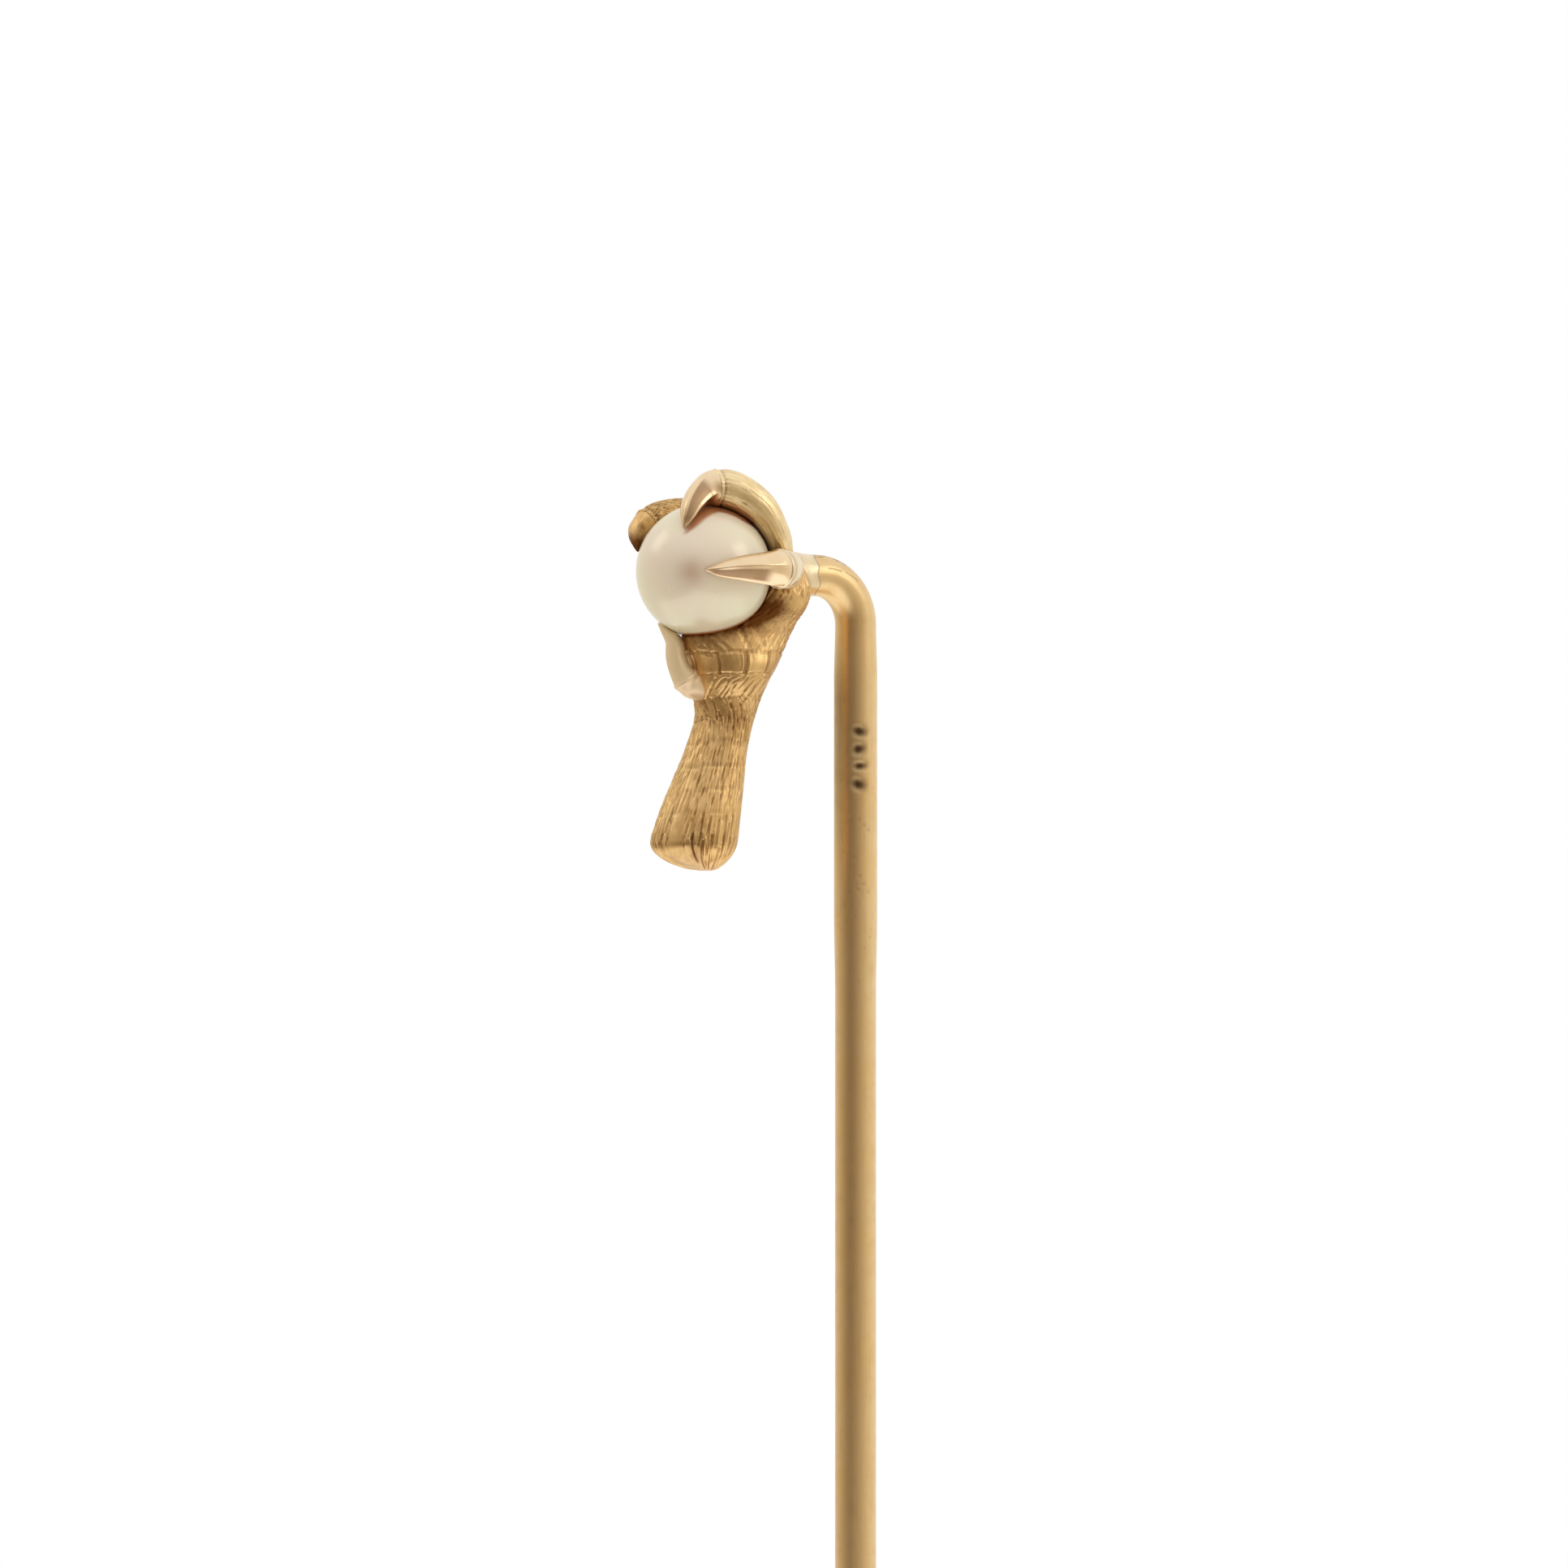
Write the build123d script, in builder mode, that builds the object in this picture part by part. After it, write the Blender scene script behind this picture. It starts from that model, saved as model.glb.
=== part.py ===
"""Stick pin whose head is a bird's claw that grips a round pearl.

Millimetres. +Z is up and the claw faces -Y. The stem's axis is the Z axis, and
z = 0 is where the straight stem ends and its bend towards the claw begins.
"""

import os
from math import cos, radians, sin
from typing import NamedTuple

from build123d import *

# ---------------------------------------------------------------- wire pin
WIRE_DIA = 1.07            # drawn wire of the stem
STEM_LENGTH = 58.0         # from the bend down to the point
POINT_LENGTH = 5.0         # ground taper at the lower end
POINT_DIA = 0.12           # blunted end of the taper
BEND_RADIUS = 1.28         # centre line of the right-angle bend
WIRE_RUN = 0.58            # straight wire between the bend and the palm's back
TENON_DEPTH = 0.35         # wire let into the palm
BEAD_LENGTH = 0.45         # solder bead along the wire
BEAD_RISE = 0.16           # solder bead up the palm
SOLDER_FIT = 0.005         # film between the solder and what it wets

# ---------------------------------------------------------------- pearl and its setting
PEARL_DIA = 3.5
PEARL_LIFT = 0.06          # pearl's centre above the wire's axis
SEAT_GAP = 0.03            # pearl to palm and talons
PEG_DIA = 0.44
PEG_SOCKET = 0.35          # peg let into the palm
PEG_REACH = 1.10           # peg inside the pearl
PEG_FIT = 0.01             # radial, peg in its socket
CEMENT_WALL = 0.05         # cement round the peg
CEMENT_PAD = 0.15          # cement past the peg's end
CEMENT_FIT = 0.004         # film between the cement and what it touches

# ---------------------------------------------------------------- palm and leg
PALM_THICKNESS = 1.12      # behind the pearl
HUB_RADIUS = 0.80          # palm's upper end, where the wire and the talons meet
HUB_DROP = 0.15            # hub's centre below the pearl's centre
CUP_RADIUS = 1.30          # palm's lower end, under the pearl
CUP_RISE = 0.25            # cup's centre above the pearl's underside


class LegStation(NamedTuple):
    """Level ellipse of the leg: places are from the pearl, sizes are half widths."""

    drop: float            # below the pearl's underside
    setback: float         # behind the pearl's centre
    half_width: float      # along X
    half_depth: float      # along Y


LEG_STATIONS = [
    LegStation(-0.55, 1.45, 1.02, 0.86),   # lip behind the pearl
    LegStation(0.20, 1.00, 1.24, 1.18),    # scutes under the pearl
    LegStation(1.05, 0.78, 1.08, 1.01),
    LegStation(1.50, 0.75, 0.92, 0.86),
    LegStation(2.35, 0.55, 0.86, 0.74),    # neck
    LegStation(3.25, 0.25, 0.96, 0.86),
    LegStation(4.45, -0.12, 1.16, 1.04),
    LegStation(5.25, -0.32, 1.27, 1.10),   # feathered flare
    LegStation(5.75, -0.25, 0.95, 0.75),
    LegStation(5.97, -0.05, 0.35, 0.25),   # rounded lower end
]


class TalonStation(NamedTuple):
    """Ellipse across a talon, placed by its direction from the pearl's centre."""

    bearing: float         # degrees about Z, from the back (+Y) towards +X
    climb: float           # degrees above the pearl's equator
    lift: float            # talon's centre line above the pearl's surface
    half_width: float      # along the pearl's surface
    half_height: float     # away from the pearl


TALONS = {
    "upper_talon": [
        TalonStation(12, 14, 0.43, 0.40, 0.36),
        TalonStation(27, 27, 0.38, 0.42, 0.36),
        TalonStation(36, 48, 0.47, 0.47, 0.42),
        TalonStation(50, 68, 0.58, 0.49, 0.45),
        TalonStation(92, 77, 0.52, 0.45, 0.42),    # knuckle
        TalonStation(131, 70, 0.40, 0.33, 0.33),
        TalonStation(141, 55, 0.22, 0.20, 0.22),
        TalonStation(146, 36, 0.05, 0.04, 0.04),   # claw's tip
    ],
    "left_talon": [
        TalonStation(-14, 17, 0.42, 0.38, 0.36),
        TalonStation(-43, 34, 0.47, 0.43, 0.40),
        TalonStation(-75, 43, 0.45, 0.46, 0.40),
        TalonStation(-102, 40, 0.44, 0.45, 0.39),  # knuckle
        TalonStation(-117, 33, 0.40, 0.38, 0.35),
        TalonStation(-127, 27, 0.29, 0.24, 0.24),
        TalonStation(-138, 17, 0.05, 0.04, 0.04),
    ],
    "right_talon": [
        TalonStation(15, -3, 0.39, 0.42, 0.36),
        TalonStation(38, 0, 0.44, 0.47, 0.42),
        TalonStation(58, 1, 0.46, 0.50, 0.44),     # knuckle
        TalonStation(76, 1, 0.38, 0.43, 0.38),
        TalonStation(94, 1, 0.26, 0.33, 0.28),
        TalonStation(110, 0, 0.14, 0.19, 0.15),
        TalonStation(122, 0, 0.05, 0.04, 0.04),
    ],
    "hind_talon": [
        TalonStation(-50, -88, 1.26, 0.36, 0.36),
        TalonStation(-160, -83, 1.20, 0.33, 0.33),
        TalonStation(-162, -77, 1.00, 0.28, 0.28),
        TalonStation(-161, -72, 0.70, 0.26, 0.26),
        TalonStation(-159, -67, 0.42, 0.23, 0.24),
        TalonStation(-153, -56, 0.15, 0.12, 0.13),
        TalonStation(-150, -49, 0.05, 0.04, 0.04),
    ],
}

# ---------------------------------------------------------------- places that follow
WIRE_RADIUS = WIRE_DIA / 2
PEARL_RADIUS = PEARL_DIA / 2
DRILL_RADIUS = PEG_DIA / 2 + CEMENT_WALL
DRILL_DEPTH = PEG_REACH + CEMENT_PAD
SEAT_RADIUS = PEARL_RADIUS + SEAT_GAP
PALM_RADIUS = SEAT_RADIUS + PALM_THICKNESS
PALM_BACK_Y = -(BEND_RADIUS + WIRE_RUN)
PEARL_CENTRE = Vector(0, PALM_BACK_Y - PALM_RADIUS, BEND_RADIUS + PEARL_LIFT)
WIRE_AXIS_PLANE = Plane(origin=(0, PALM_BACK_Y, BEND_RADIUS), x_dir=(-1, 0, 0), z_dir=(0, 1, 0))
PEARL_BACK_PLANE = Plane(origin=PEARL_CENTRE, x_dir=(-1, 0, 0), z_dir=(0, 1, 0))
BALL_PLANE = Plane(origin=PEARL_CENTRE, x_dir=(0, 0, -1), z_dir=(0, 1, 0))


def from_pearl(station: TalonStation) -> Vector:
    """Point on a talon's centre line."""
    reach = PEARL_RADIUS + station.lift
    level = reach * cos(radians(station.climb))
    return PEARL_CENTRE + Vector(
        level * sin(radians(station.bearing)),
        level * cos(radians(station.bearing)),
        reach * sin(radians(station.climb)),
    )


def talon_planes(stations: list[TalonStation]) -> list[Plane]:
    """Planes square to a talon's centre line, with x along the pearl's surface."""
    points = [from_pearl(station) for station in stations]
    planes = []
    for index, point in enumerate(points):
        before = points[max(index - 1, 0)]
        after = points[min(index + 1, len(points) - 1)]
        along = (after - before).normalized()
        sideways = (point - PEARL_CENTRE).cross(along)
        planes.append(Plane(origin=point, x_dir=sideways, z_dir=along))
    return planes


def finish(part: Part, name: str) -> None:
    """Label a finished piece and write it."""
    part.label = name
    export_step(part, f"parts/{name}.step")


os.makedirs("parts", exist_ok=True)

# ---------------------------------------------------------------- bent stem with its ground point
with BuildPart() as pin_stem:
    with BuildLine(Plane.YZ) as stem_route:
        Line((0, POINT_LENGTH - STEM_LENGTH), (0, 0))
        JernArc(start=(0, 0), tangent=(0, 1), radius=BEND_RADIUS, arc_size=90)
        Line(stem_route.line @ 1, (PALM_BACK_Y - TENON_DEPTH, BEND_RADIUS))
    with BuildSketch(Plane.XY.offset(POINT_LENGTH - STEM_LENGTH)):
        Circle(WIRE_RADIUS)
    sweep()
    with BuildSketch(Plane.XY.offset(-STEM_LENGTH)):
        Circle(POINT_DIA / 2)
    with BuildSketch(Plane.XY.offset(POINT_LENGTH - STEM_LENGTH)):
        Circle(WIRE_RADIUS)
    loft()
finish(pin_stem.part, "pin_stem")

# ---------------------------------------------------------------- leg and cupped palm
with BuildPart() as claw_leg:
    with BuildSketch(PEARL_BACK_PLANE):
        with Locations((0, -HUB_DROP)):
            Circle(HUB_RADIUS)
        with Locations((0, CUP_RISE - PEARL_RADIUS)):
            Circle(CUP_RADIUS)
        make_hull()
    extrude(amount=PALM_RADIUS)
    with Locations(BALL_PLANE):
        Sphere(PALM_RADIUS, mode=Mode.INTERSECT)
    for station in LEG_STATIONS:
        level = PEARL_CENTRE.Z - PEARL_RADIUS - station.drop
        with BuildSketch(Plane(origin=(0, PEARL_CENTRE.Y + station.setback, level))):
            Ellipse(station.half_width, station.half_depth)
    loft()
    with Locations(BALL_PLANE):
        Sphere(SEAT_RADIUS, mode=Mode.SUBTRACT)
    with BuildSketch(WIRE_AXIS_PLANE):
        Circle(WIRE_RADIUS + SOLDER_FIT)
    extrude(amount=-TENON_DEPTH, mode=Mode.SUBTRACT)
    with BuildSketch(PEARL_BACK_PLANE.offset(SEAT_RADIUS + PEG_SOCKET)):
        Circle(PEG_DIA / 2 + PEG_FIT)
    extrude(amount=-(SEAT_RADIUS + PEG_SOCKET), mode=Mode.SUBTRACT)
finish(claw_leg.part, "claw_leg")

# ---------------------------------------------------------------- solder bead round the wire
with BuildPart() as stem_solder:
    with BuildSketch(Plane.YZ):
        with BuildLine():
            inner = WIRE_RADIUS + SOLDER_FIT
            foot = (PALM_BACK_Y - BEAD_RISE, BEND_RADIUS + inner + BEAD_RISE)
            toe = (PALM_BACK_Y + BEAD_LENGTH, BEND_RADIUS + inner)
            RadiusArc(foot, toe, BEAD_LENGTH)
            Polyline(toe, (foot[0], toe[1]), foot)
        make_face()
    revolve(axis=Axis((0, 0, BEND_RADIUS), (0, 1, 0)))
    add(claw_leg.part, mode=Mode.SUBTRACT)
finish(stem_solder.part, "stem_solder")

# ---------------------------------------------------------------- talons
for talon_name, stations in TALONS.items():
    with BuildPart() as talon:
        for station, plane in zip(stations, talon_planes(stations)):
            with BuildSketch(plane):
                Ellipse(station.half_width, station.half_height)
        loft()
        with Locations(BALL_PLANE):
            Sphere(SEAT_RADIUS, mode=Mode.SUBTRACT)
        add(claw_leg.part, mode=Mode.SUBTRACT)
    finish(talon.part, talon_name)

# ---------------------------------------------------------------- half-drilled pearl
with BuildPart() as pearl:
    with Locations(BALL_PLANE):
        Sphere(PEARL_RADIUS)
    with BuildSketch(PEARL_BACK_PLANE.offset(PEARL_RADIUS)):
        Circle(DRILL_RADIUS)
    extrude(amount=-DRILL_DEPTH, mode=Mode.SUBTRACT)
finish(pearl.part, "pearl")

# ---------------------------------------------------------------- peg that carries the pearl
with BuildPart() as pearl_peg:
    with BuildSketch(PEARL_BACK_PLANE.offset(SEAT_RADIUS + PEG_SOCKET)):
        Circle(PEG_DIA / 2)
    extrude(amount=-(PEG_SOCKET + SEAT_GAP + PEG_REACH))
finish(pearl_peg.part, "pearl_peg")

# ---------------------------------------------------------------- cement in the drilled hole
with BuildPart() as pearl_cement:
    with BuildSketch(PEARL_BACK_PLANE.offset(PEARL_RADIUS - DRILL_DEPTH + CEMENT_FIT)):
        Circle(DRILL_RADIUS - CEMENT_FIT)
    extrude(amount=DRILL_DEPTH - CEMENT_FIT)
    with BuildSketch(PEARL_BACK_PLANE.offset(PEARL_RADIUS - PEG_REACH - CEMENT_FIT)):
        Circle(PEG_DIA / 2 + CEMENT_FIT)
    extrude(amount=PEG_REACH + CEMENT_FIT, mode=Mode.SUBTRACT)
finish(pearl_cement.part, "pearl_cement")
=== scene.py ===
"""Stick pin with an engraved bird's claw that holds a pearl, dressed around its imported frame.

Lengths in the dataclasses are millimetres from the pearl's centre, with X to the right and Y to the
back; Blender gets metres. MM is the only step between the two.
"""

import logging
from dataclasses import dataclass, field
from enum import Enum
from typing import Any, Sequence

import bpy
import numpy as np
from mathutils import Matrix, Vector


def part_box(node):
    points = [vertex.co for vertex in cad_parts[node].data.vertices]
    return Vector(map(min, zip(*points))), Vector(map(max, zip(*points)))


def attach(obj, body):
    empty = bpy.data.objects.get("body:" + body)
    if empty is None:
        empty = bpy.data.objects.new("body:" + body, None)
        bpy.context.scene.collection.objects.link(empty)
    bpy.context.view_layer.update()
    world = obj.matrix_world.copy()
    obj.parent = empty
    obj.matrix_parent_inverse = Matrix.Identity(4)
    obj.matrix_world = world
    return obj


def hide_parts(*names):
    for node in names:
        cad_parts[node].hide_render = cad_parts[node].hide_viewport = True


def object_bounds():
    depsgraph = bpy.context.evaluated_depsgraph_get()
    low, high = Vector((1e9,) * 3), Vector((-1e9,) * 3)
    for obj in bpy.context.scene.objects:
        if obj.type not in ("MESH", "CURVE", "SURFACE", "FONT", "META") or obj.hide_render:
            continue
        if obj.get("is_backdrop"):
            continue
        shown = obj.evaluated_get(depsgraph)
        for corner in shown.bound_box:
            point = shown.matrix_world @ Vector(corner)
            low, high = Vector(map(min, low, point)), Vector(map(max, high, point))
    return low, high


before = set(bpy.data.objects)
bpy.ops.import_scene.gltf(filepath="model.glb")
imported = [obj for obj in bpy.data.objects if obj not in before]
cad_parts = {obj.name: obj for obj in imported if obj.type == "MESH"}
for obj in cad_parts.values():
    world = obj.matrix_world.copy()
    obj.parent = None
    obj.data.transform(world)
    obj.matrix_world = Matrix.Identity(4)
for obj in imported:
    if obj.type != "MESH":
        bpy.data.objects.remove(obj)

MM = 0.001
LOG = logging.getLogger("stick_pin")
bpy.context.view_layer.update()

Array = np.ndarray


# ------------------------------------------------------------------ small helpers


def linear(hex_colour: str) -> tuple[float, float, float, float]:
    """Turn an sRGB hex colour into linear light.

    Args:
        hex_colour: six hex digits after a hash sign.

    Returns:
        Red, green, blue and alpha in 0 to 1.
    """
    parts = [int(hex_colour[i : i + 2], 16) / 255 for i in (1, 3, 5)]
    channels = [c / 12.92 if c <= 0.04045 else ((c + 0.055) / 1.055) ** 2.4 for c in parts]
    return (channels[0], channels[1], channels[2], 1.0)


def per_mm(size_mm: float) -> float:
    """Noise scale whose features are about size_mm across, in Object coordinates."""
    return 1.0 / (size_mm * MM)


def add_node(tree: Any, kind: str, settings: dict[str, Any], links: dict[Any, Any]) -> Any:
    """Add one shader node.

    Args:
        tree: node tree that gets it.
        kind: Blender's name of the node.
        settings: its attributes, and its socket values under "in:NAME" or an index.
        links: input socket name or index to the output socket that feeds it.

    Returns:
        The new node.
    """
    node = tree.nodes.new(kind)
    for key, value in settings.items():
        if isinstance(key, int):
            node.inputs[key].default_value = value
        elif key.startswith("in:"):
            node.inputs[key[3:]].default_value = value
        else:
            setattr(node, key, value)
    for key, source in links.items():
        tree.links.new(source, node.inputs[key])
    return node


def set_ramp(node: Any, stops: Sequence[tuple[float, tuple[float, ...]]]) -> None:
    """Put the colour stops of a ramp node at their places.

    Args:
        node: the ramp node.
        stops: place from 0 to 1 and linear colour of each stop.
    """
    ramp = node.color_ramp
    while len(ramp.elements) < len(stops):
        ramp.elements.new(1.0)
    for element, (place, colour) in zip(ramp.elements, stops):
        element.position = place
        element.color = colour


def bare_material(name: str) -> bpy.types.Material:
    """Make a material with an empty node tree."""
    material = bpy.data.materials.new(name)
    material.use_nodes = True
    material.node_tree.nodes.clear()
    return material


def grey(level: float) -> tuple[float, float, float, float]:
    """Neutral colour of a linear level."""
    return (level, level, level, 1.0)


def spline(stations: Array, count: int) -> Array:
    """Smooth curve through stations, by cubic Hermite pieces with finite-difference slopes.

    Args:
        stations: n rows of values, one row per station.
        count: samples to return.

    Returns:
        count rows, evenly spread over the stations' numbering.
    """
    slopes = np.gradient(stations, axis=0)
    place = np.linspace(0, len(stations) - 1, count)
    low = np.minimum(place.astype(int), len(stations) - 2)
    t = (place - low)[:, None]
    start, end = stations[low], stations[low + 1]
    return (
        (2 * t**3 - 3 * t**2 + 1) * start
        + (t**3 - 2 * t**2 + t) * slopes[low]
        + (-2 * t**3 + 3 * t**2) * end
        + (t**3 - t**2) * slopes[low + 1]
    )


def unit(vectors: Array) -> Array:
    """Vectors of length one."""
    length = np.linalg.norm(vectors, axis=-1, keepdims=True)
    return vectors / np.maximum(length, 1e-12)


def smoothstep(low: float, high: float, values: Array) -> Array:
    """Rise from 0 at low to 1 at high along 3t^2 - 2t^3."""
    t = np.clip((values - low) / (high - low), 0, 1)
    return t * t * (3 - 2 * t)


def bump(values: Array, centre: float, width: float) -> Array:
    """Gaussian hill of height one."""
    return np.exp(-(((values - centre) / width) ** 2))


def grid_normals(points: Array) -> Array:
    """Outward normals of a grid that is closed around its second axis."""
    along = np.gradient(points, axis=0)
    around = np.roll(points, -1, axis=1) - np.roll(points, 1, axis=1)
    return unit(np.cross(around, along))


def keep_outside(points: Array, radius: float) -> Array:
    """Push points that lie within a ball about the origin straight out to its surface."""
    reach = np.linalg.norm(points, axis=-1, keepdims=True)
    return points * np.maximum(reach, radius) / np.maximum(reach, 1e-9)


def grain_space(angle: Array, along: Array, radius: float, stretch: float) -> Array:
    """Coordinates in which strokes run lengthwise: round a cylinder, and stretched along it.

    Args:
        angle: angle of each column.
        along: length along the piece of each row, in millimetres.
        radius: of the cylinder, in millimetres.
        stretch: how many times longer than wide a stroke is.

    Returns:
        Rows by columns by 3: radius times cosine and sine, and the length over the stretch.
    """
    rows, columns = len(along), len(angle)
    ring = np.stack([radius * np.cos(angle), radius * np.sin(angle)], axis=-1)
    level = np.repeat((along / stretch)[:, None, None], columns, axis=1)
    return np.concatenate([np.repeat(ring[None], rows, axis=0), level], axis=-1)


class Skin:
    """Turns a grid of points into a Blender object with a closed surface."""

    def __init__(self, origin: Array) -> None:
        """Remember the point, in millimetres, that the grids are measured from."""
        self.origin = origin

    def piece(
        self,
        name: str,
        points: Array,
        material: bpy.types.Material,
        fields: dict[str, Array],
        grain: Array,
    ) -> bpy.types.Object:
        """Make a tube-like piece, closed around axis 1 and with both ends drawn to a pole.

        Args:
            name: object's name.
            points: rows by columns by 3, in millimetres from the origin.
            material: its only material.
            fields: point attributes, each rows by columns. cut_share is 1 where it is missing.
            grain: rows by columns by 3, the place that the finish's strokes are drawn at.

        Returns:
            The object, riding on the pin's only body.
        """
        rows, columns, _ = points.shape
        ends = np.array([points[0].mean(axis=0), points[-1].mean(axis=0)])
        vertices = np.concatenate([points.reshape(-1, 3), ends]) + self.origin
        index = np.arange(rows * columns).reshape(rows, columns)
        after = np.roll(index, -1, axis=1)
        quads = np.stack([index[:-1], after[:-1], after[1:], index[1:]], axis=-1).reshape(-1, 4)
        first, last = rows * columns, rows * columns + 1
        start_fan = np.stack([np.full(columns, first), after[0], index[0]], axis=-1)
        end_fan = np.stack([np.full(columns, last), index[-1], after[-1]], axis=-1)
        mesh = bpy.data.meshes.new(name)
        faces = [*quads.tolist(), *start_fan.tolist(), *end_fan.tolist()]
        mesh.from_pydata((vertices * MM).tolist(), [], faces)
        mesh.polygons.foreach_set("use_smooth", np.ones(len(mesh.polygons), dtype=bool))
        everywhere = np.ones((rows, columns))
        for label, values in ({"cut_share": everywhere} | fields).items():
            flat = values.reshape(-1)
            layer = mesh.attributes.new(label, "FLOAT", "POINT")
            tail = [values[0].mean(), values[-1].mean()]
            layer.data.foreach_set("value", np.concatenate([flat, tail]).astype(np.float32))
        strokes = np.concatenate([grain.reshape(-1, 3), grain[[0, -1]].mean(axis=1)]) * MM
        layer = mesh.attributes.new("grain_at", "FLOAT_VECTOR", "POINT")
        layer.data.foreach_set("vector", strokes.astype(np.float32).reshape(-1))
        mesh.materials.append(material)
        mesh.update()
        shape = bpy.data.objects.new(name, mesh)
        bpy.context.scene.collection.objects.link(shape)
        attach(shape, "root")
        LOG.info("%s: %d faces", name, len(mesh.polygons))
        return shape


@dataclass(frozen=True)
class Hatching:
    """Rows of nearly parallel strokes on one stretch of a piece, in millimetres.

    The stretch runs from low to high along the piece. Slant is the sideways run for each
    millimetre along, and skip is the share of strokes that the hand left out.
    """

    low: float
    high: float
    spacing: float
    length: float
    slant: float
    width: float
    depth: float
    skip: float = 0.12


class Graver:
    """Cuts strokes into a height field laid over a surface.

    A stroke is a straight V with rounded flanks: depth falls as exp(-(d/w)^2) with the distance d
    from its line, fades over its ends, and leaves a low burr on both sides. The four constants
    are the fade's length and the burr's place and width, in stroke widths, and its height, in
    stroke depths.
    """

    END_FADE = 0.8
    BURR_PLACE = 1.7
    BURR_WIDTH = 0.6
    BURR_HEIGHT = 0.30

    def __init__(self, around: Array, along: Array, girth: float, seed: int) -> None:
        """Take the two surface coordinates of every grid point, in millimetres.

        Args:
            around: position around the piece, one value per column.
            along: position along the piece, one value per row.
            girth: length after which around starts again.
            seed: start of the random draws.
        """
        self.around = around
        self.along = along
        self.girth = girth
        self.random = np.random.default_rng(seed)
        self.height = np.zeros((len(along), len(around)))

    def cut(
        self, start: tuple[float, float], end: tuple[float, float], width: float, depth: float
    ) -> None:
        """Cut one stroke.

        Args:
            start: around and along of its beginning.
            end: around and along of its end.
            width: distance from its line at which the depth has fallen to about a third.
            depth: along its line.
        """
        reach = 3 * width
        low, high = sorted((start[1], end[1]))
        rows = (self.along > low - reach) & (self.along < high + reach)
        if not rows.any():
            return
        offset = self.around[None, :] - start[0]
        offset = (offset + self.girth / 2) % self.girth - self.girth / 2
        rise = self.along[rows][:, None] - start[1]
        line = np.array([end[0] - start[0], end[1] - start[1]])
        length = max(float(np.hypot(*line)), 1e-6)
        line = line / length
        place = (offset * line[0] + rise * line[1]) / length
        across = np.abs(offset * line[1] - rise * line[0])
        beyond = np.maximum(np.abs(place - 0.5) - 0.5, 0) * length
        fade = np.exp(-((beyond / (self.END_FADE * width)) ** 2))
        groove = np.exp(-((across / width) ** 2))
        burr = np.exp(-(((across - self.BURR_PLACE * width) / (self.BURR_WIDTH * width)) ** 2))
        self.height[rows] -= depth * fade * (groove - self.BURR_HEIGHT * burr)

    def hatch(self, reach: float, cuts: Hatching) -> None:
        """Fill a stretch with rows of strokes, each drawn a little different.

        Args:
            reach: how far the rows go round the piece, to both sides of zero.
            cuts: the stretch and its strokes.
        """
        draw = self.random
        row = cuts.low
        while row < cuts.high:
            column = -reach + draw.uniform(0, cuts.spacing)
            while column < reach:
                if draw.random() > cuts.skip:
                    run = cuts.length * draw.uniform(0.6, 1.25)
                    low = row + draw.uniform(-0.3, 0.3) * cuts.length
                    lean = cuts.slant + draw.normal(0, 0.05)
                    shift = draw.normal(0, 0.12) * cuts.spacing
                    self.cut(
                        (column + shift, low),
                        (column + shift + lean * run, min(low + run, cuts.high + 0.05)),
                        cuts.width * draw.uniform(0.75, 1.3),
                        cuts.depth * draw.uniform(0.5, 1.25),
                    )
                column += cuts.spacing * draw.uniform(0.8, 1.2)
            row += cuts.length * 0.85


# ------------------------------------------------------------------ finishes


class GoldTone(Enum):
    """Colours of the gold parts: the clean metal, and the film that lies on it. The film colour also
    paints shade near the pearl, in the cup's gap and on the claws' facets and tips.
    """

    WIRE = ("#EBD0A0", "#5E4630")
    LEG = ("#EBC88F", "#70451F")
    TOE = ("#FAE7BC", "#6B4620")
    CLAW = ("#F3DDBC", "#80532F")
    SOLDER = ("#EFE0C2", "#86775F")
    BUFFED = ("#F3DDBC", "#E6CFA4")


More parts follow.
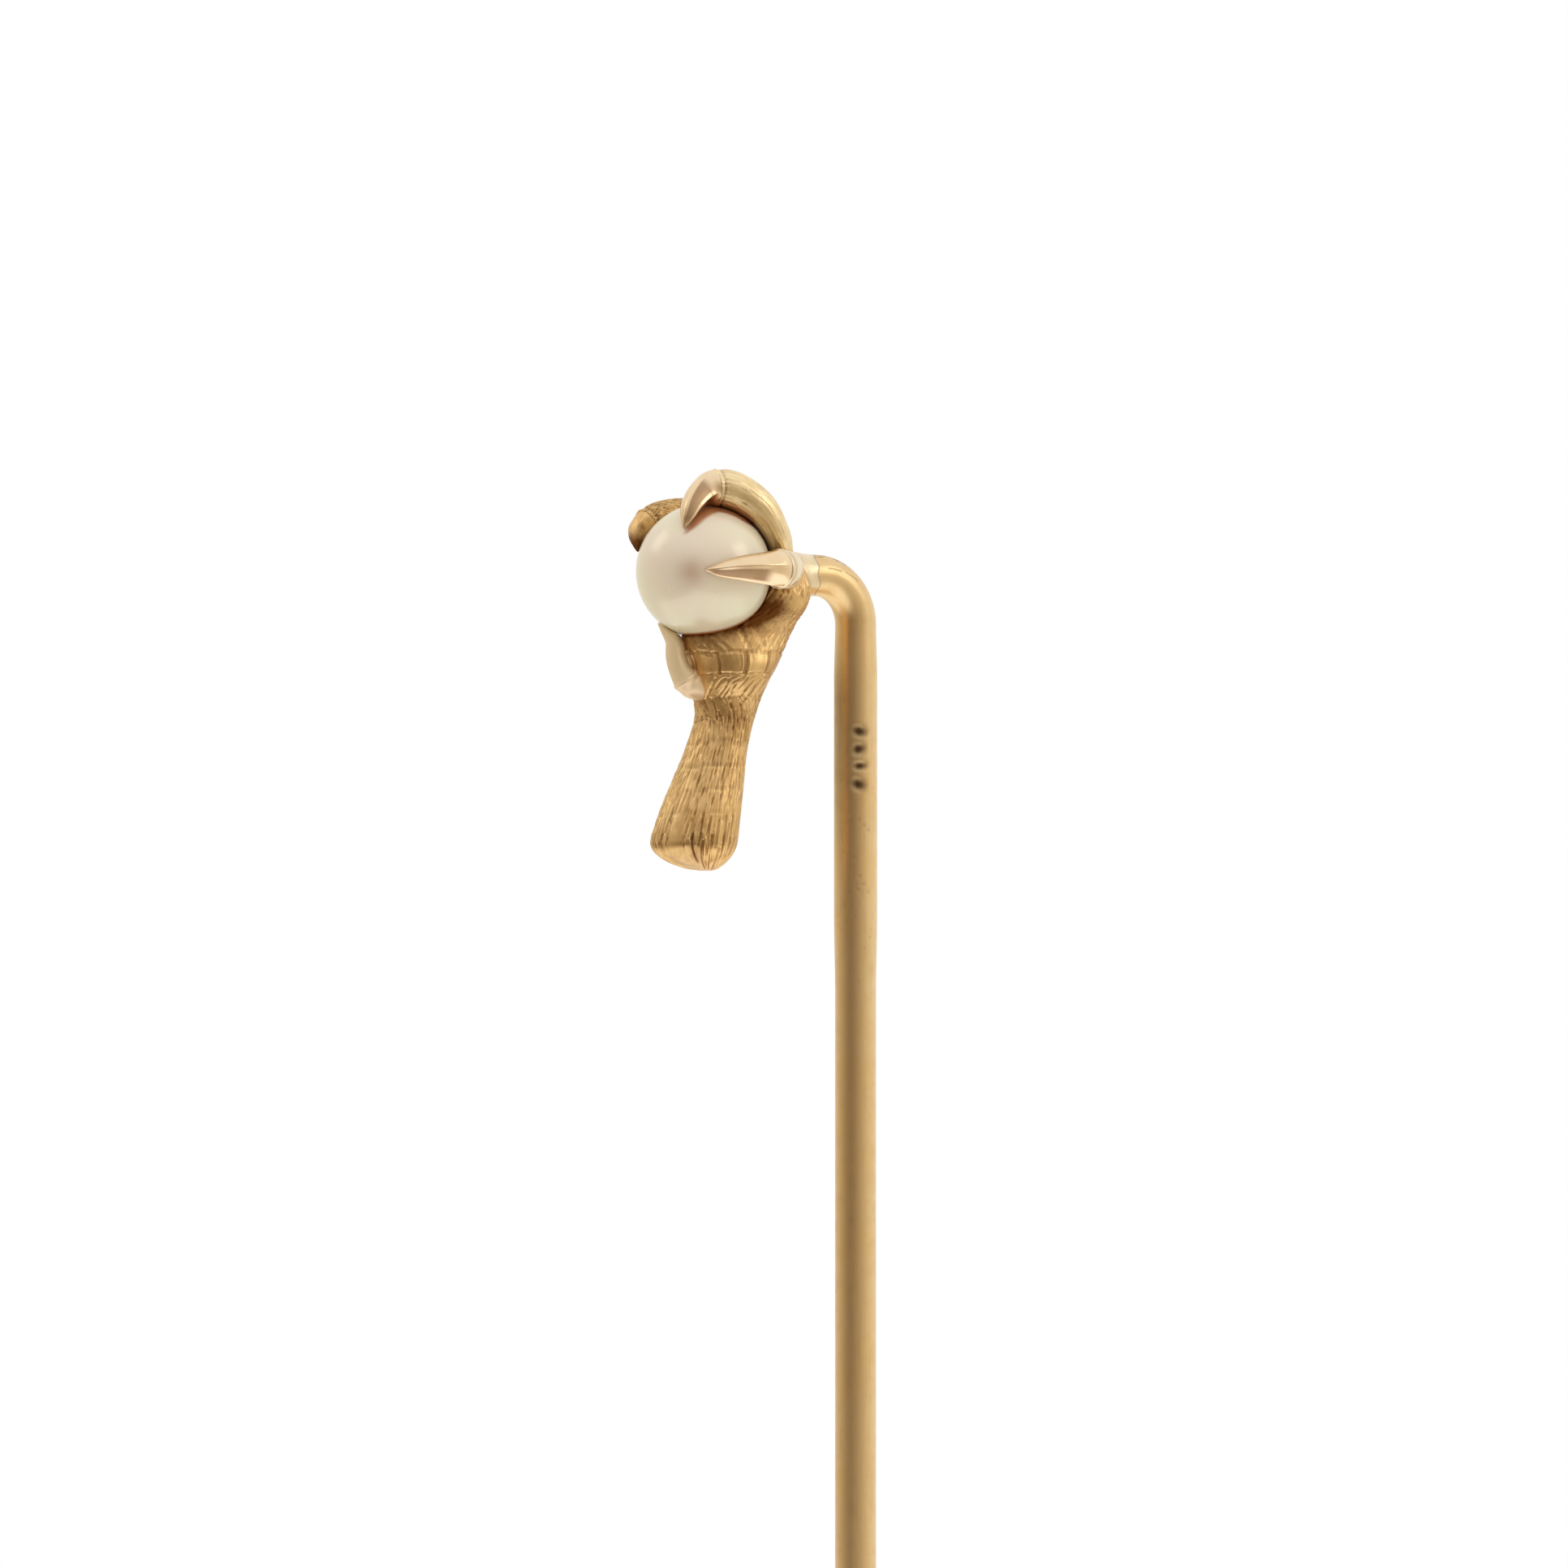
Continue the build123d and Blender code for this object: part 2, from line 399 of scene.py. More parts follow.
@dataclass(frozen=True)
class YellowGold:
    """14 carat yellow gold, cast or drawn, then engraved or polished by hand.

    Bare metal with soft, warm reflections. Wear keeps the ridges bright and a brown film of old
    polish and skin oil stays in the cuts, so the attribute that carries the film darkens and dulls
    it. The same attribute also carries painted shade: beside the pearl, in the cup's gap, on the
    claws' dark facets and at the left claw's tip. Fine strokes of the graver or marks of the draw
    plate run along the piece, by its grain_at attribute, where cut_share allows. Real ones are about
    0.02 mm apart, too fine to show, so stroke_mm draws them two to three times as coarse, and wider
    still for the ripples of solder.
    mottle_mm is the spacing of a fingerprint's ridges, in which the film breaks up. A metallic
    value under 1 is haze all over, which scatters light as a varnish does.
    """

    WARM_CLOUD = (1.0, 0.90, 0.74, 1.0)
    CLOUD_MM = 0.9

    name: str
    tone: GoldTone
    roughness: float
    film_roughness: float = 0.55
    stroke_mm: float = 0.06
    stroke_height_mm: float = 0.003
    stroke_film: float = 0.0
    mottle_mm: float = 0.45
    mottle_film: float = 0.0
    metallic: float = 1.0

    def build(self) -> bpy.types.Material:
        """Make the material: clean gold, film and strokes, mixed by attributes and noise.

        Returns:
            The material.
        """
        material = bare_material(self.name)
        tree = material.node_tree
        clean, film = (linear(colour) for colour in self.tone.value)
        warm = tuple(min(1.0, c * f) for c, f in zip(clean, self.WARM_CLOUD))
        place = add_node(tree, "ShaderNodeTexCoord", {}, {}).outputs["Object"]
        lengthwise = add_node(tree, "ShaderNodeAttribute", {"attribute_name": "grain_at"}, {})
        cloud = add_node(
            tree,
            "ShaderNodeTexNoise",
            {"in:Scale": per_mm(self.CLOUD_MM), "in:Detail": 4.0},
            {"Vector": place},
        )
        mottle = add_node(
            tree,
            "ShaderNodeTexNoise",
            {"in:Scale": per_mm(self.mottle_mm), "in:Detail": 5.0, "in:Roughness": 0.65},
            {"Vector": place},
        )
        strokes = add_node(
            tree,
            "ShaderNodeTexNoise",
            {"in:Scale": per_mm(self.stroke_mm), "in:Detail": 2.0},
            {"Vector": lengthwise.outputs["Vector"]},
        )
        # The attribute read here mixes the real film with painted shade.
        film_and_shade_mask = add_node(tree, "ShaderNodeAttribute", {"attribute_name": "film_and_painted_shade"}, {})
        tint = add_node(
            tree, "ShaderNodeMix", {"data_type": "RGBA", 6: clean, 7: warm}, {0: cloud.outputs["Fac"]}
        )
        patches = add_node(
            tree,
            "ShaderNodeMapRange",
            {"in:From Min": 0.46, "in:From Max": 0.70, "in:To Max": self.mottle_film},
            {"Value": mottle.outputs["Fac"]},
        )
        cut_share = add_node(tree, "ShaderNodeAttribute", {"attribute_name": "cut_share"}, {})
        cuts = add_node(
            tree,
            "ShaderNodeMath",
            {"operation": "MULTIPLY"},
            {0: strokes.outputs["Fac"], 1: cut_share.outputs["Fac"]},
        )
        ridges = add_node(
            tree,
            "ShaderNodeMapRange",
            {"in:From Min": 0.52, "in:From Max": 0.34, "in:To Max": self.stroke_film},
            {"Value": strokes.outputs["Fac"]},
        )
        lines = add_node(
            tree,
            "ShaderNodeMath",
            {"operation": "MULTIPLY"},
            {0: ridges.outputs["Result"], 1: cut_share.outputs["Fac"]},
        )
        fine = add_node(
            tree,
            "ShaderNodeMath",
            {"operation": "ADD"},
            {0: patches.outputs["Result"], 1: lines.outputs["Value"]},
        )
        amount = add_node(
            tree,
            "ShaderNodeMath",
            {"operation": "ADD", "use_clamp": True},
            {0: film_and_shade_mask.outputs["Fac"], 1: fine.outputs["Value"]},
        )
        colour = add_node(
            tree,
            "ShaderNodeMix",
            {"data_type": "RGBA", 7: film},
            {0: amount.outputs["Value"], 6: tint.outputs[2]},
        )
        dull = add_node(
            tree,
            "ShaderNodeMapRange",
            {"in:To Min": self.roughness, "in:To Max": self.film_roughness},
            {"Value": amount.outputs["Value"]},
        )
        uneven = add_node(
            tree,
            "ShaderNodeMath",
            {"operation": "MULTIPLY_ADD", 1: 0.12, 2: -0.06},
            {0: mottle.outputs["Fac"]},
        )
        rough = add_node(
            tree,
            "ShaderNodeMath",
            {"operation": "ADD", "use_clamp": True},
            {0: dull.outputs["Result"], 1: uneven.outputs["Value"]},
        )
        relief = add_node(
            tree,
            "ShaderNodeBump",
            {"in:Strength": 1.0, "in:Distance": self.stroke_height_mm * MM},
            {"Height": cuts.outputs["Value"]},
        )
        shader = add_node(
            tree,
            "ShaderNodeBsdfPrincipled",
            {"in:Metallic": self.metallic},
            {
                "Base Color": colour.outputs[2],
                "Roughness": rough.outputs["Value"],
                "Normal": relief.outputs["Normal"],
            },
        )
        add_node(tree, "ShaderNodeOutputMaterial", {}, {"Surface": shader.outputs["BSDF"]})
        return material


@dataclass(frozen=True)
class Nacre:
    """Cultured pearl nacre: thin aragonite plates over a bead.

    A satin glow with a broad soft highlight and faint pink and green orient that drifts over the
    surface. Part of its light comes back from the plates as from metal, so it mirrors its setting.
    Warm is the colour of painted reflection of the gold and painted shade, which an attribute
    lays at the edges where the pearl meets the gold, and at the side claw's tip.
    The plates' real edges are thousandths of a millimetre apart; plate_mm draws them to show.
    """

    name: str = "cultured_pearl_nacre"
    body: str = "#ECE1C2"
    rose: str = "#ECDCC4"
    green: str = "#E8E3BE"
    warm: str = "#A55A1C"
    lustre: float = 0.16
    roughness: float = 0.28
    drift_mm: float = 2.2
    plate_mm: float = 0.35

    def build(self) -> bpy.types.Material:
        """Make the material: drifting orient, painted reflection and shade at the edges, and a thin
        clear coat.

        Returns:
            The material.
        """
        material = bare_material(self.name)
        tree = material.node_tree
        place = add_node(tree, "ShaderNodeTexCoord", {}, {})
        drift = add_node(
            tree,
            "ShaderNodeTexNoise",
            {"in:Scale": per_mm(self.drift_mm), "in:Detail": 1.5, "in:Distortion": 0.6},
            {"Vector": place.outputs["Object"]},
        )
        orient = add_node(tree, "ShaderNodeValToRGB", {}, {"Fac": drift.outputs["Fac"]})
        set_ramp(
            orient,
            [(0.34, linear(self.green)), (0.50, linear(self.body)), (0.66, linear(self.rose))],
        )
        # Painted reflection of the gold and painted shade, mixed towards the warm colour.
        glow = add_node(tree, "ShaderNodeAttribute", {"attribute_name": "painted_reflection_and_shade"}, {})
        colour = add_node(
            tree,
            "ShaderNodeMix",
            {"data_type": "RGBA", 7: linear(self.warm)},
            {0: glow.outputs["Fac"], 6: orient.outputs["Color"]},
        )
        plates = add_node(
            tree,
            "ShaderNodeTexNoise",
            {"in:Scale": per_mm(self.plate_mm), "in:Detail": 4.0},
            {"Vector": place.outputs["Object"]},
        )
        relief = add_node(
            tree,
            "ShaderNodeBump",
            {"in:Strength": 0.5, "in:Distance": 0.002 * MM},
            {"Height": plates.outputs["Fac"]},
        )
        satin = add_node(
            tree,
            "ShaderNodeMapRange",
            {"in:To Min": self.roughness - 0.04, "in:To Max": self.roughness + 0.06},
            {"Value": plates.outputs["Fac"]},
        )
        shader = add_node(
            tree,
            "ShaderNodeBsdfPrincipled",
            {
                "in:Metallic": self.lustre,
                "in:IOR": 1.53,
                "in:Coat Weight": 0.25,
                "in:Coat Roughness": 0.12,
                "in:Coat IOR": 1.53,
            },
            {
                "Base Color": colour.outputs[2],
                "Roughness": satin.outputs["Result"],
                "Normal": relief.outputs["Normal"],
            },
        )
        add_node(tree, "ShaderNodeOutputMaterial", {}, {"Surface": shader.outputs["BSDF"]})
        return material


@dataclass(frozen=True)
class SetCement:
    """Two-part resin cement, set hard in the drilled hole: cloudy straw-coloured plastic."""

    name: str = "pearl_cement_resin"
    pale: str = "#E9DDBC"
    deep: str = "#CDB98B"
    cloud_mm: float = 0.2

    def build(self) -> bpy.types.Material:
        """Make the material: two straw tones in clouds, with a slightly lumpy skin.

        Returns:
            The material.
        """
        material = bare_material(self.name)
        tree = material.node_tree
        place = add_node(tree, "ShaderNodeTexCoord", {}, {})
        cloud = add_node(
            tree,
            "ShaderNodeTexNoise",
            {"in:Scale": per_mm(self.cloud_mm), "in:Detail": 3.0},
            {"Vector": place.outputs["Object"]},
        )
        mix = add_node(
            tree,
            "ShaderNodeMix",
            {"data_type": "RGBA", 6: linear(self.pale), 7: linear(self.deep)},
            {0: cloud.outputs["Fac"]},
        )
        relief = add_node(
            tree,
            "ShaderNodeBump",
            {"in:Strength": 0.6, "in:Distance": 0.004 * MM},
            {"Height": cloud.outputs["Fac"]},
        )
        shader = add_node(
            tree,
            "ShaderNodeBsdfPrincipled",
            {"in:Roughness": 0.45},
            {"Base Color": mix.outputs[2], "Normal": relief.outputs["Normal"]},
        )
        add_node(tree, "ShaderNodeOutputMaterial", {}, {"Surface": shader.outputs["BSDF"]})
        return material


# ------------------------------------------------------------------ the pin's parts


@dataclass
class Setting:
    """Places that every part shares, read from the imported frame.

    The CAD palm's seat is a hollow whose radius is seat_gap more than the pearl's. The meshes
    that rest on the pearl stop contact_gap short of it, so that no two surfaces lie in each other.
    """

    centre: Array = field(init=False)
    pearl_radius: float = field(init=False)
    seat_radius: float = field(init=False)
    contact_radius: float = field(init=False)
    wire_radius: float = field(init=False)
    seat_gap: float = 0.03
    contact_gap: float = 0.012

    def __post_init__(self) -> None:
        """Work out the pearl's ball and the wire's size from their boxes."""
        low, high = (np.array(corner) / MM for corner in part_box("pearl"))
        self.pearl_radius = float(high[0] - low[0]) / 2
        self.centre = np.array([0.0, low[1] + self.pearl_radius, (low[2] + high[2]) / 2])
        self.seat_radius = self.pearl_radius + self.seat_gap
        self.contact_radius = self.pearl_radius + self.contact_gap
        wire_low, wire_high = (np.array(corner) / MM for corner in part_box("pin_stem"))
        self.wire_radius = float(wire_high[0] - wire_low[0]) / 2

    def contact_shade(self, points: Array, fade: float) -> Array:
        """Share of painted shade beside the pearl: exp(-d / fade), with d the distance from contact."""
        away = np.linalg.norm(points, axis=-1) - self.contact_radius
        return np.exp(-np.maximum(away, 0) / fade)


@dataclass(frozen=True)
class Patch:
    """Soft oval patch on a piece: its middle round and along it, and its reach both ways."""

    around: float
    along: float
    half_width: float
    half_length: float

    def share(self, side: Array, level: Array) -> Array:
        """Product of a Gaussian hill round the piece and one along it."""
        return bump(side, self.around, self.half_width) * bump(level, self.along, self.half_length)


@dataclass(frozen=True)
class LegLevel:
    """Level section of the leg: a superellipse placed from the pearl's centre."""

    back: float
    height: float
    half_width: float
    half_depth: float
    square: float = 2.0


@dataclass
class ClawLeg:
    """Feathered leg and cupped palm in one piece, with the graver's strokes cut in.

    Places along are millimetres from the flare's lower edge, and places round are radians from
    the front towards +X. The bands are (level, slope) of the rings that part the strokes.
    """

    setting: Setting
    rows: int = 270
    columns: int = 360
    levels: tuple[LegLevel, ...] = (
        LegLevel(0.06, -7.73, 0.20, 0.16),
        LegLevel(-0.05, -7.66, 0.48, 0.42),
        LegLevel(-0.19, -7.50, 0.83, 0.73),
        LegLevel(-0.27, -7.30, 1.07, 0.95),
        LegLevel(-0.30, -7.08, 1.19, 1.05, 2.1),
        LegLevel(-0.27, -6.86, 1.21, 1.06, 2.1),
        LegLevel(-0.20, -6.58, 1.20, 1.05),
        LegLevel(-0.04, -6.00, 1.13, 0.98),
        LegLevel(0.16, -5.36, 1.01, 0.88),
        LegLevel(0.35, -4.73, 0.90, 0.79),
        LegLevel(0.56, -4.09, 0.85, 0.74),
        LegLevel(0.68, -3.67, 0.88, 0.75),
        LegLevel(0.74, -3.24, 0.98, 0.85),
        LegLevel(0.77, -2.82, 1.16, 1.01),
        LegLevel(0.87, -2.40, 1.22, 1.17),
        LegLevel(0.92, -1.97, 1.12, 1.42),
        LegLevel(1.00, -1.66, 1.02, 1.54),
        LegLevel(1.24, -1.34, 1.04, 1.48),
        LegLevel(1.83, -0.92, 1.10, 1.10, 2.3),
        LegLevel(2.00, -0.45, 1.10, 0.94, 3.0),
        LegLevel(2.06, 0.02, 0.90, 0.82, 2.8),
        LegLevel(2.12, 0.38, 0.62, 0.60, 2.4),
        LegLevel(2.16, 0.58, 0.28, 0.28),
        LegLevel(2.18, 0.63, 0.08, 0.08),
    )
    leg_cuts: tuple[Hatching, ...] = (
        Hatching(0.05, 1.05, 0.125, 1.20, 0.01, 0.026, 0.034, skip=0.04),
        Hatching(0.20, 1.00, 0.300, 0.95, -0.02, 0.030, 0.030, skip=0.30),
        Hatching(1.00, 2.95, 0.115, 0.60, 0.02, 0.022, 0.022),
        Hatching(0.70, 2.90, 0.210, 0.90, -0.04, 0.028, 0.024, skip=0.40),
        Hatching(2.85, 3.60, 0.120, 0.34, 0.03, 0.022, 0.024),
        Hatching(3.50, 4.20, 0.130, 0.40, -0.22, 0.024, 0.026),
        Hatching(4.10, 4.75, 0.150, 0.42, -0.55, 0.030, 0.032),
        Hatching(4.68, 5.26, 0.170, 0.30, 0.75, 0.028, 0.022, skip=0.25),
    )
    bands: tuple[tuple[float, float], ...] = (
        (1.62, 0.05),
        (2.25, 0.04),
        (2.88, 0.05),
        (3.55, 0.12),
        (4.18, 0.15),
        (4.72, 0.10),
    )
    palm_cuts: tuple[Hatching, ...] = (
        Hatching(5.92, 9.8, 0.180, 0.30, 0.35, 0.036, 0.016, skip=0.30),
        Hatching(5.92, 9.8, 0.260, 0.20, -0.60, 0.040, 0.018, skip=0.45),
    )
    plates_low: float = 5.36
    plates_high: float = 5.92
    plate_count: int = 10
    spine_angle: float = 2.50
    spine_width: float = 0.16
    feather_angle: float = 0.52
    feather_width: float = 0.27
    feather_lean: float = 0.09
    full_film_depth: float = 0.034
    dark_barbs: Patch = Patch(0.92, 0.66, 0.17, 0.42)
    # Painted shade of the gap between the pearl and the cup's right wall.
    shaded_gap: Patch = Patch(1.25, 7.15, 0.46, 0.48)

    def surface(self) -> tuple[Array, Array, Array]:
        """Loft the sections: x = a r sin f and y = c - b r cos f.

        Here r = (|sin f|^n + |cos f|^n)^(-1/n), and f runs evenly round from the front towards
        +X. The centre c, the halves a and b, the squareness n and the height follow a smooth
        curve through the levels.

        Returns:
            Points, the angle of each column, and the length along the leg of each row.
        """
        table = [[v.back, v.height, v.half_width, v.half_depth, v.square] for v in self.levels]
        curve = spline(np.array(table), self.rows)
        angle = np.linspace(-np.pi, np.pi, self.columns, endpoint=False)
        square = np.maximum(curve[:, 4:5], 2)
        reach = (np.abs(np.sin(angle)) ** square + np.abs(np.cos(angle)) ** square) ** (-1 / square)
        x = np.maximum(curve[:, 2:3], 0.02) * np.sin(angle) * reach
        y = curve[:, 0:1] - np.maximum(curve[:, 3:4], 0.02) * np.cos(angle) * reach
        z = np.repeat(curve[:, 1:2], self.columns, axis=1)
        steps = np.linalg.norm(np.diff(curve[:, :2], axis=0), axis=1)
        along = np.concatenate([[0.0], np.cumsum(steps)])
        return np.stack([x, y, z], axis=-1), angle, along

    def engrave(self, angle: Array, along: Array) -> Array:
        """Cut long barbs on the flare, slanting bands on the ankle and plates under the pearl.

        Around is the angle times one millimetre, so lengthwise cuts fan out with the leg. Every
        band has its own slant and ends in a faint ring, as the graver turned round the leg.

        Args:
            angle: of each column.
            along: of each row.

        Returns:
            Height over the smooth surface, in millimetres.
        """
        graver = Graver(angle, along, 2 * np.pi, seed=11)
        for cuts in self.leg_cuts:
            graver.hatch(np.pi, cuts)
        for level, slope in self.bands:
            self.ring(graver, level, slope, 0.026, 0.012)
        self.plates(graver)
        for cuts in self.palm_cuts:
            graver.hatch(np.pi, cuts)
        return graver.height

    @staticmethod
    def ring(graver: Graver, level: float, slope: float, width: float, depth: float) -> None:
        """Cut a wavering line right round the leg, in short runs of uneven weight.

        Args:
            graver: cuts it.
            level: its mean place along the leg.
            slope: how far its sides rise and fall from there.
            width: of the cut.
            depth: of a run of weight one.
        """
        runs = 26
        step = 2 * np.pi / runs
        for number in range(runs):
            start = -np.pi + number * step
            low = level + slope * np.sin(start - 0.4)
            high = level + slope * np.sin(start + step - 0.4)
            wobble = graver.random.normal(0, 0.015)
            weight = depth * graver.random.uniform(0.3, 1.4)
            graver.cut((start, low + wobble), (start + step, high + wobble), width, weight)

    def plates(self, graver: Graver) -> None:
        """Cut the row of broad square plates under the pearl, with a ring above and below.

        Args:
            graver: cuts them.
        """
        step = 2 * np.pi / self.plate_count
        for number in range(self.plate_count):
            start = -np.pi + (number + graver.random.normal(0, 0.08)) * step
            graver.cut((start, self.plates_low), (start + 0.03, self.plates_high), 0.042, 0.050)
        self.ring(graver, self.plates_low, 0.03, 0.036, 0.026)
        self.ring(graver, self.plates_high, 0.03, 0.036, 0.024)

    def feather(self, side: Array, level: Array) -> Array:
        """Share of the plain feather on the flare's side, which the graver went round.

        It is a wedge with its point 1.85 mm up the leg. It widens evenly downwards, to a tenth
        past its full width near the flare's edge, and leans towards the front as it does.

        Args:
            side: angle of each column.
            level: place of each row.

        Returns:
            1 on the feather and 0 off it.
        """
        opened = np.clip((1.85 - level) / 1.4, 0, 1.1)
        half = self.feather_width * opened
        offset = np.abs(side - self.feather_angle + self.feather_lean * opened)
        return smoothstep(half + 0.04, half, offset) * smoothstep(0.0, 0.25, opened)

    def build(self, skin: Skin, finish: bpy.types.Material) -> bpy.types.Object:
        """Make the leg and let it stand for its CAD solid.

        The polished spine at the back, the flare's lower edge and the plain feather stay uncut.
        Points inside the contact ball move straight out onto it, which hollows the cup. The film
        fills the cuts, deepest among the dark barbs, and is rubbed off the spine. Painted shade
        darkens the corner under the pearl and the gap on the cup's right side.

        Args:
            skin: makes the mesh.
            finish: its material.

        Returns:
            The leg.
        """
        points, angle, along = self.surface()
        side = angle[None, :]
        level = along[:, None]
        spine = bump(side, self.spine_angle, self.spine_width) * smoothstep(5.6, 4.8, level)
        rim = smoothstep(0.10, 0.04, level)
        feather = self.feather(side, level)
        keep = np.clip(1 - np.maximum(np.maximum(spine, rim), feather), 0, 1)
        height = self.engrave(angle, along) * keep
        cut = points + grid_normals(points) * height[..., None]
        pressed = keep_outside(cut, self.setting.contact_radius)
        dark = self.dark_barbs.share(side, level)
        groove = np.clip(-height / self.full_film_depth, 0, 1) * (0.34 + 0.60 * dark)
        # Painted shade: darker close to the pearl, in the corner under it.
        crevice_shade = 0.80 * self.setting.contact_shade(pressed, 0.30)
        # Painted shade in the gap between the pearl and the cup's right wall.
        gap_shade = 1.2 * self.shaded_gap.share(side, level)
        film = np.maximum(groove, crevice_shade) + gap_shade + 0.30 * dark + 0.14 * feather
        film_and_painted_shade = np.clip(film * (1 - 0.8 * spine) - 0.25 * spine, -0.4, 1)
        grain = grain_space(angle, along, 1.0, 7.0)
        fields = {"film_and_painted_shade": film_and_painted_shade, "cut_share": keep}
        piece = skin.piece("engraved_leg", pressed, finish, fields, grain)
        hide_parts("claw_leg")
        return piece


class ToeCut(Enum):
    """How the graver finished a toe."""

    LINES = "fine lines along it"
    FLECKS = "short flecks both ways"
    PLAIN = "left smooth"


@dataclass(frozen=True)
class TalonShape:
    """One talon round the pearl.

    Stations are (bearing, climb, lift, half width, half height): bearing in degrees about Z from
    the back towards +X, climb in degrees above the pearl's middle, lift of the centre line over
    the pearl, and the ellipse's halves along and away from the pearl. The toe ends and the claw
    begins at the station numbered knuckle. The claw's keels stand at turn plus quarter turns from
    the side away from the pearl. The facet at the angle facet gets painted shade, a dark reflection
    in the film's colour. A second painted shade grows towards the tip, and worn_film is even.
    """

    node: str
    stations: tuple[tuple[float, float, float, float, float], ...]
    knuckle: float
    seed: int
    turn: float = 0.0
    facet: float = 0.0
    # Strength of the painted shade on the facet, and of the painted shade towards the tip.
    facet_shade: float = 0.0
    tip_shade: float = 0.0
    worn_film: float = 0.0
    sharp: float = 0.72
    toe_cut: ToeCut = ToeCut.LINES


TALONS = (
    TalonShape(
        "upper_talon",
        (
            (12, 14, 0.43, 0.40, 0.36),
            (27, 27, 0.38, 0.42, 0.36),
            (36, 48, 0.42, 0.47, 0.47),
            (50, 68, 0.46, 0.49, 0.52),
            (92, 77, 0.44, 0.46, 0.48),
            (128, 71, 0.38, 0.41, 0.41),
            (139, 58, 0.27, 0.31, 0.31),
            (142, 46, 0.15, 0.19, 0.18),
            (144, 37, 0.05, 0.03, 0.03),
        ),
        knuckle=4.0,
        seed=21,
        facet=-0.78,
        facet_shade=0.62,
        sharp=0.60,
    ),
    TalonShape(
        "left_talon",
        (
            (-14, 17, 0.42, 0.38, 0.36),
            (-43, 34, 0.47, 0.43, 0.40),
            (-75, 43, 0.45, 0.46, 0.40),
            (-102, 40, 0.44, 0.45, 0.39),
            (-117, 33, 0.40, 0.38, 0.35),
            (-127, 27, 0.29, 0.24, 0.24),
            (-134, 21, 0.13, 0.13, 0.12),
            (-138, 17, 0.05, 0.03, 0.03),
        ),
        knuckle=3.7,
        seed=22,
        facet=-1.8,
        facet_shade=0.55,
        tip_shade=1.0,
        toe_cut=ToeCut.FLECKS,
    ),
    TalonShape(
        "right_talon",
        (
            (15, -3, 0.39, 0.42, 0.36),
            (38, 0, 0.44, 0.47, 0.42),
            (58, 1, 0.46, 0.50, 0.44),
            (76, 1, 0.38, 0.43, 0.38),
            (94, 1, 0.26, 0.33, 0.28),
            (110, 0, 0.14, 0.19, 0.15),
            (122, 0, 0.05, 0.03, 0.03),
        ),
        knuckle=2.2,
        seed=23,
        turn=0.20,
        facet=-0.60,
        facet_shade=0.68,
        toe_cut=ToeCut.PLAIN,
    ),
    TalonShape(
        "hind_talon",
        (
            (-50, -88, 1.26, 0.36, 0.36),
            (-160, -83, 1.16, 0.36, 0.37),
            (-162, -77, 0.92, 0.35, 0.30),
            (-161, -72, 0.60, 0.34, 0.27),
            (-159, -67, 0.24, 0.29, 0.23),
            (-153, -56, 0.07, 0.14, 0.11),
            (-150, -49, 0.03, 0.03, 0.03),
        ),
        knuckle=1.5,
        seed=24,
        worn_film=0.80,
        sharp=0.35,
        toe_cut=ToeCut.PLAIN,
    ),
)


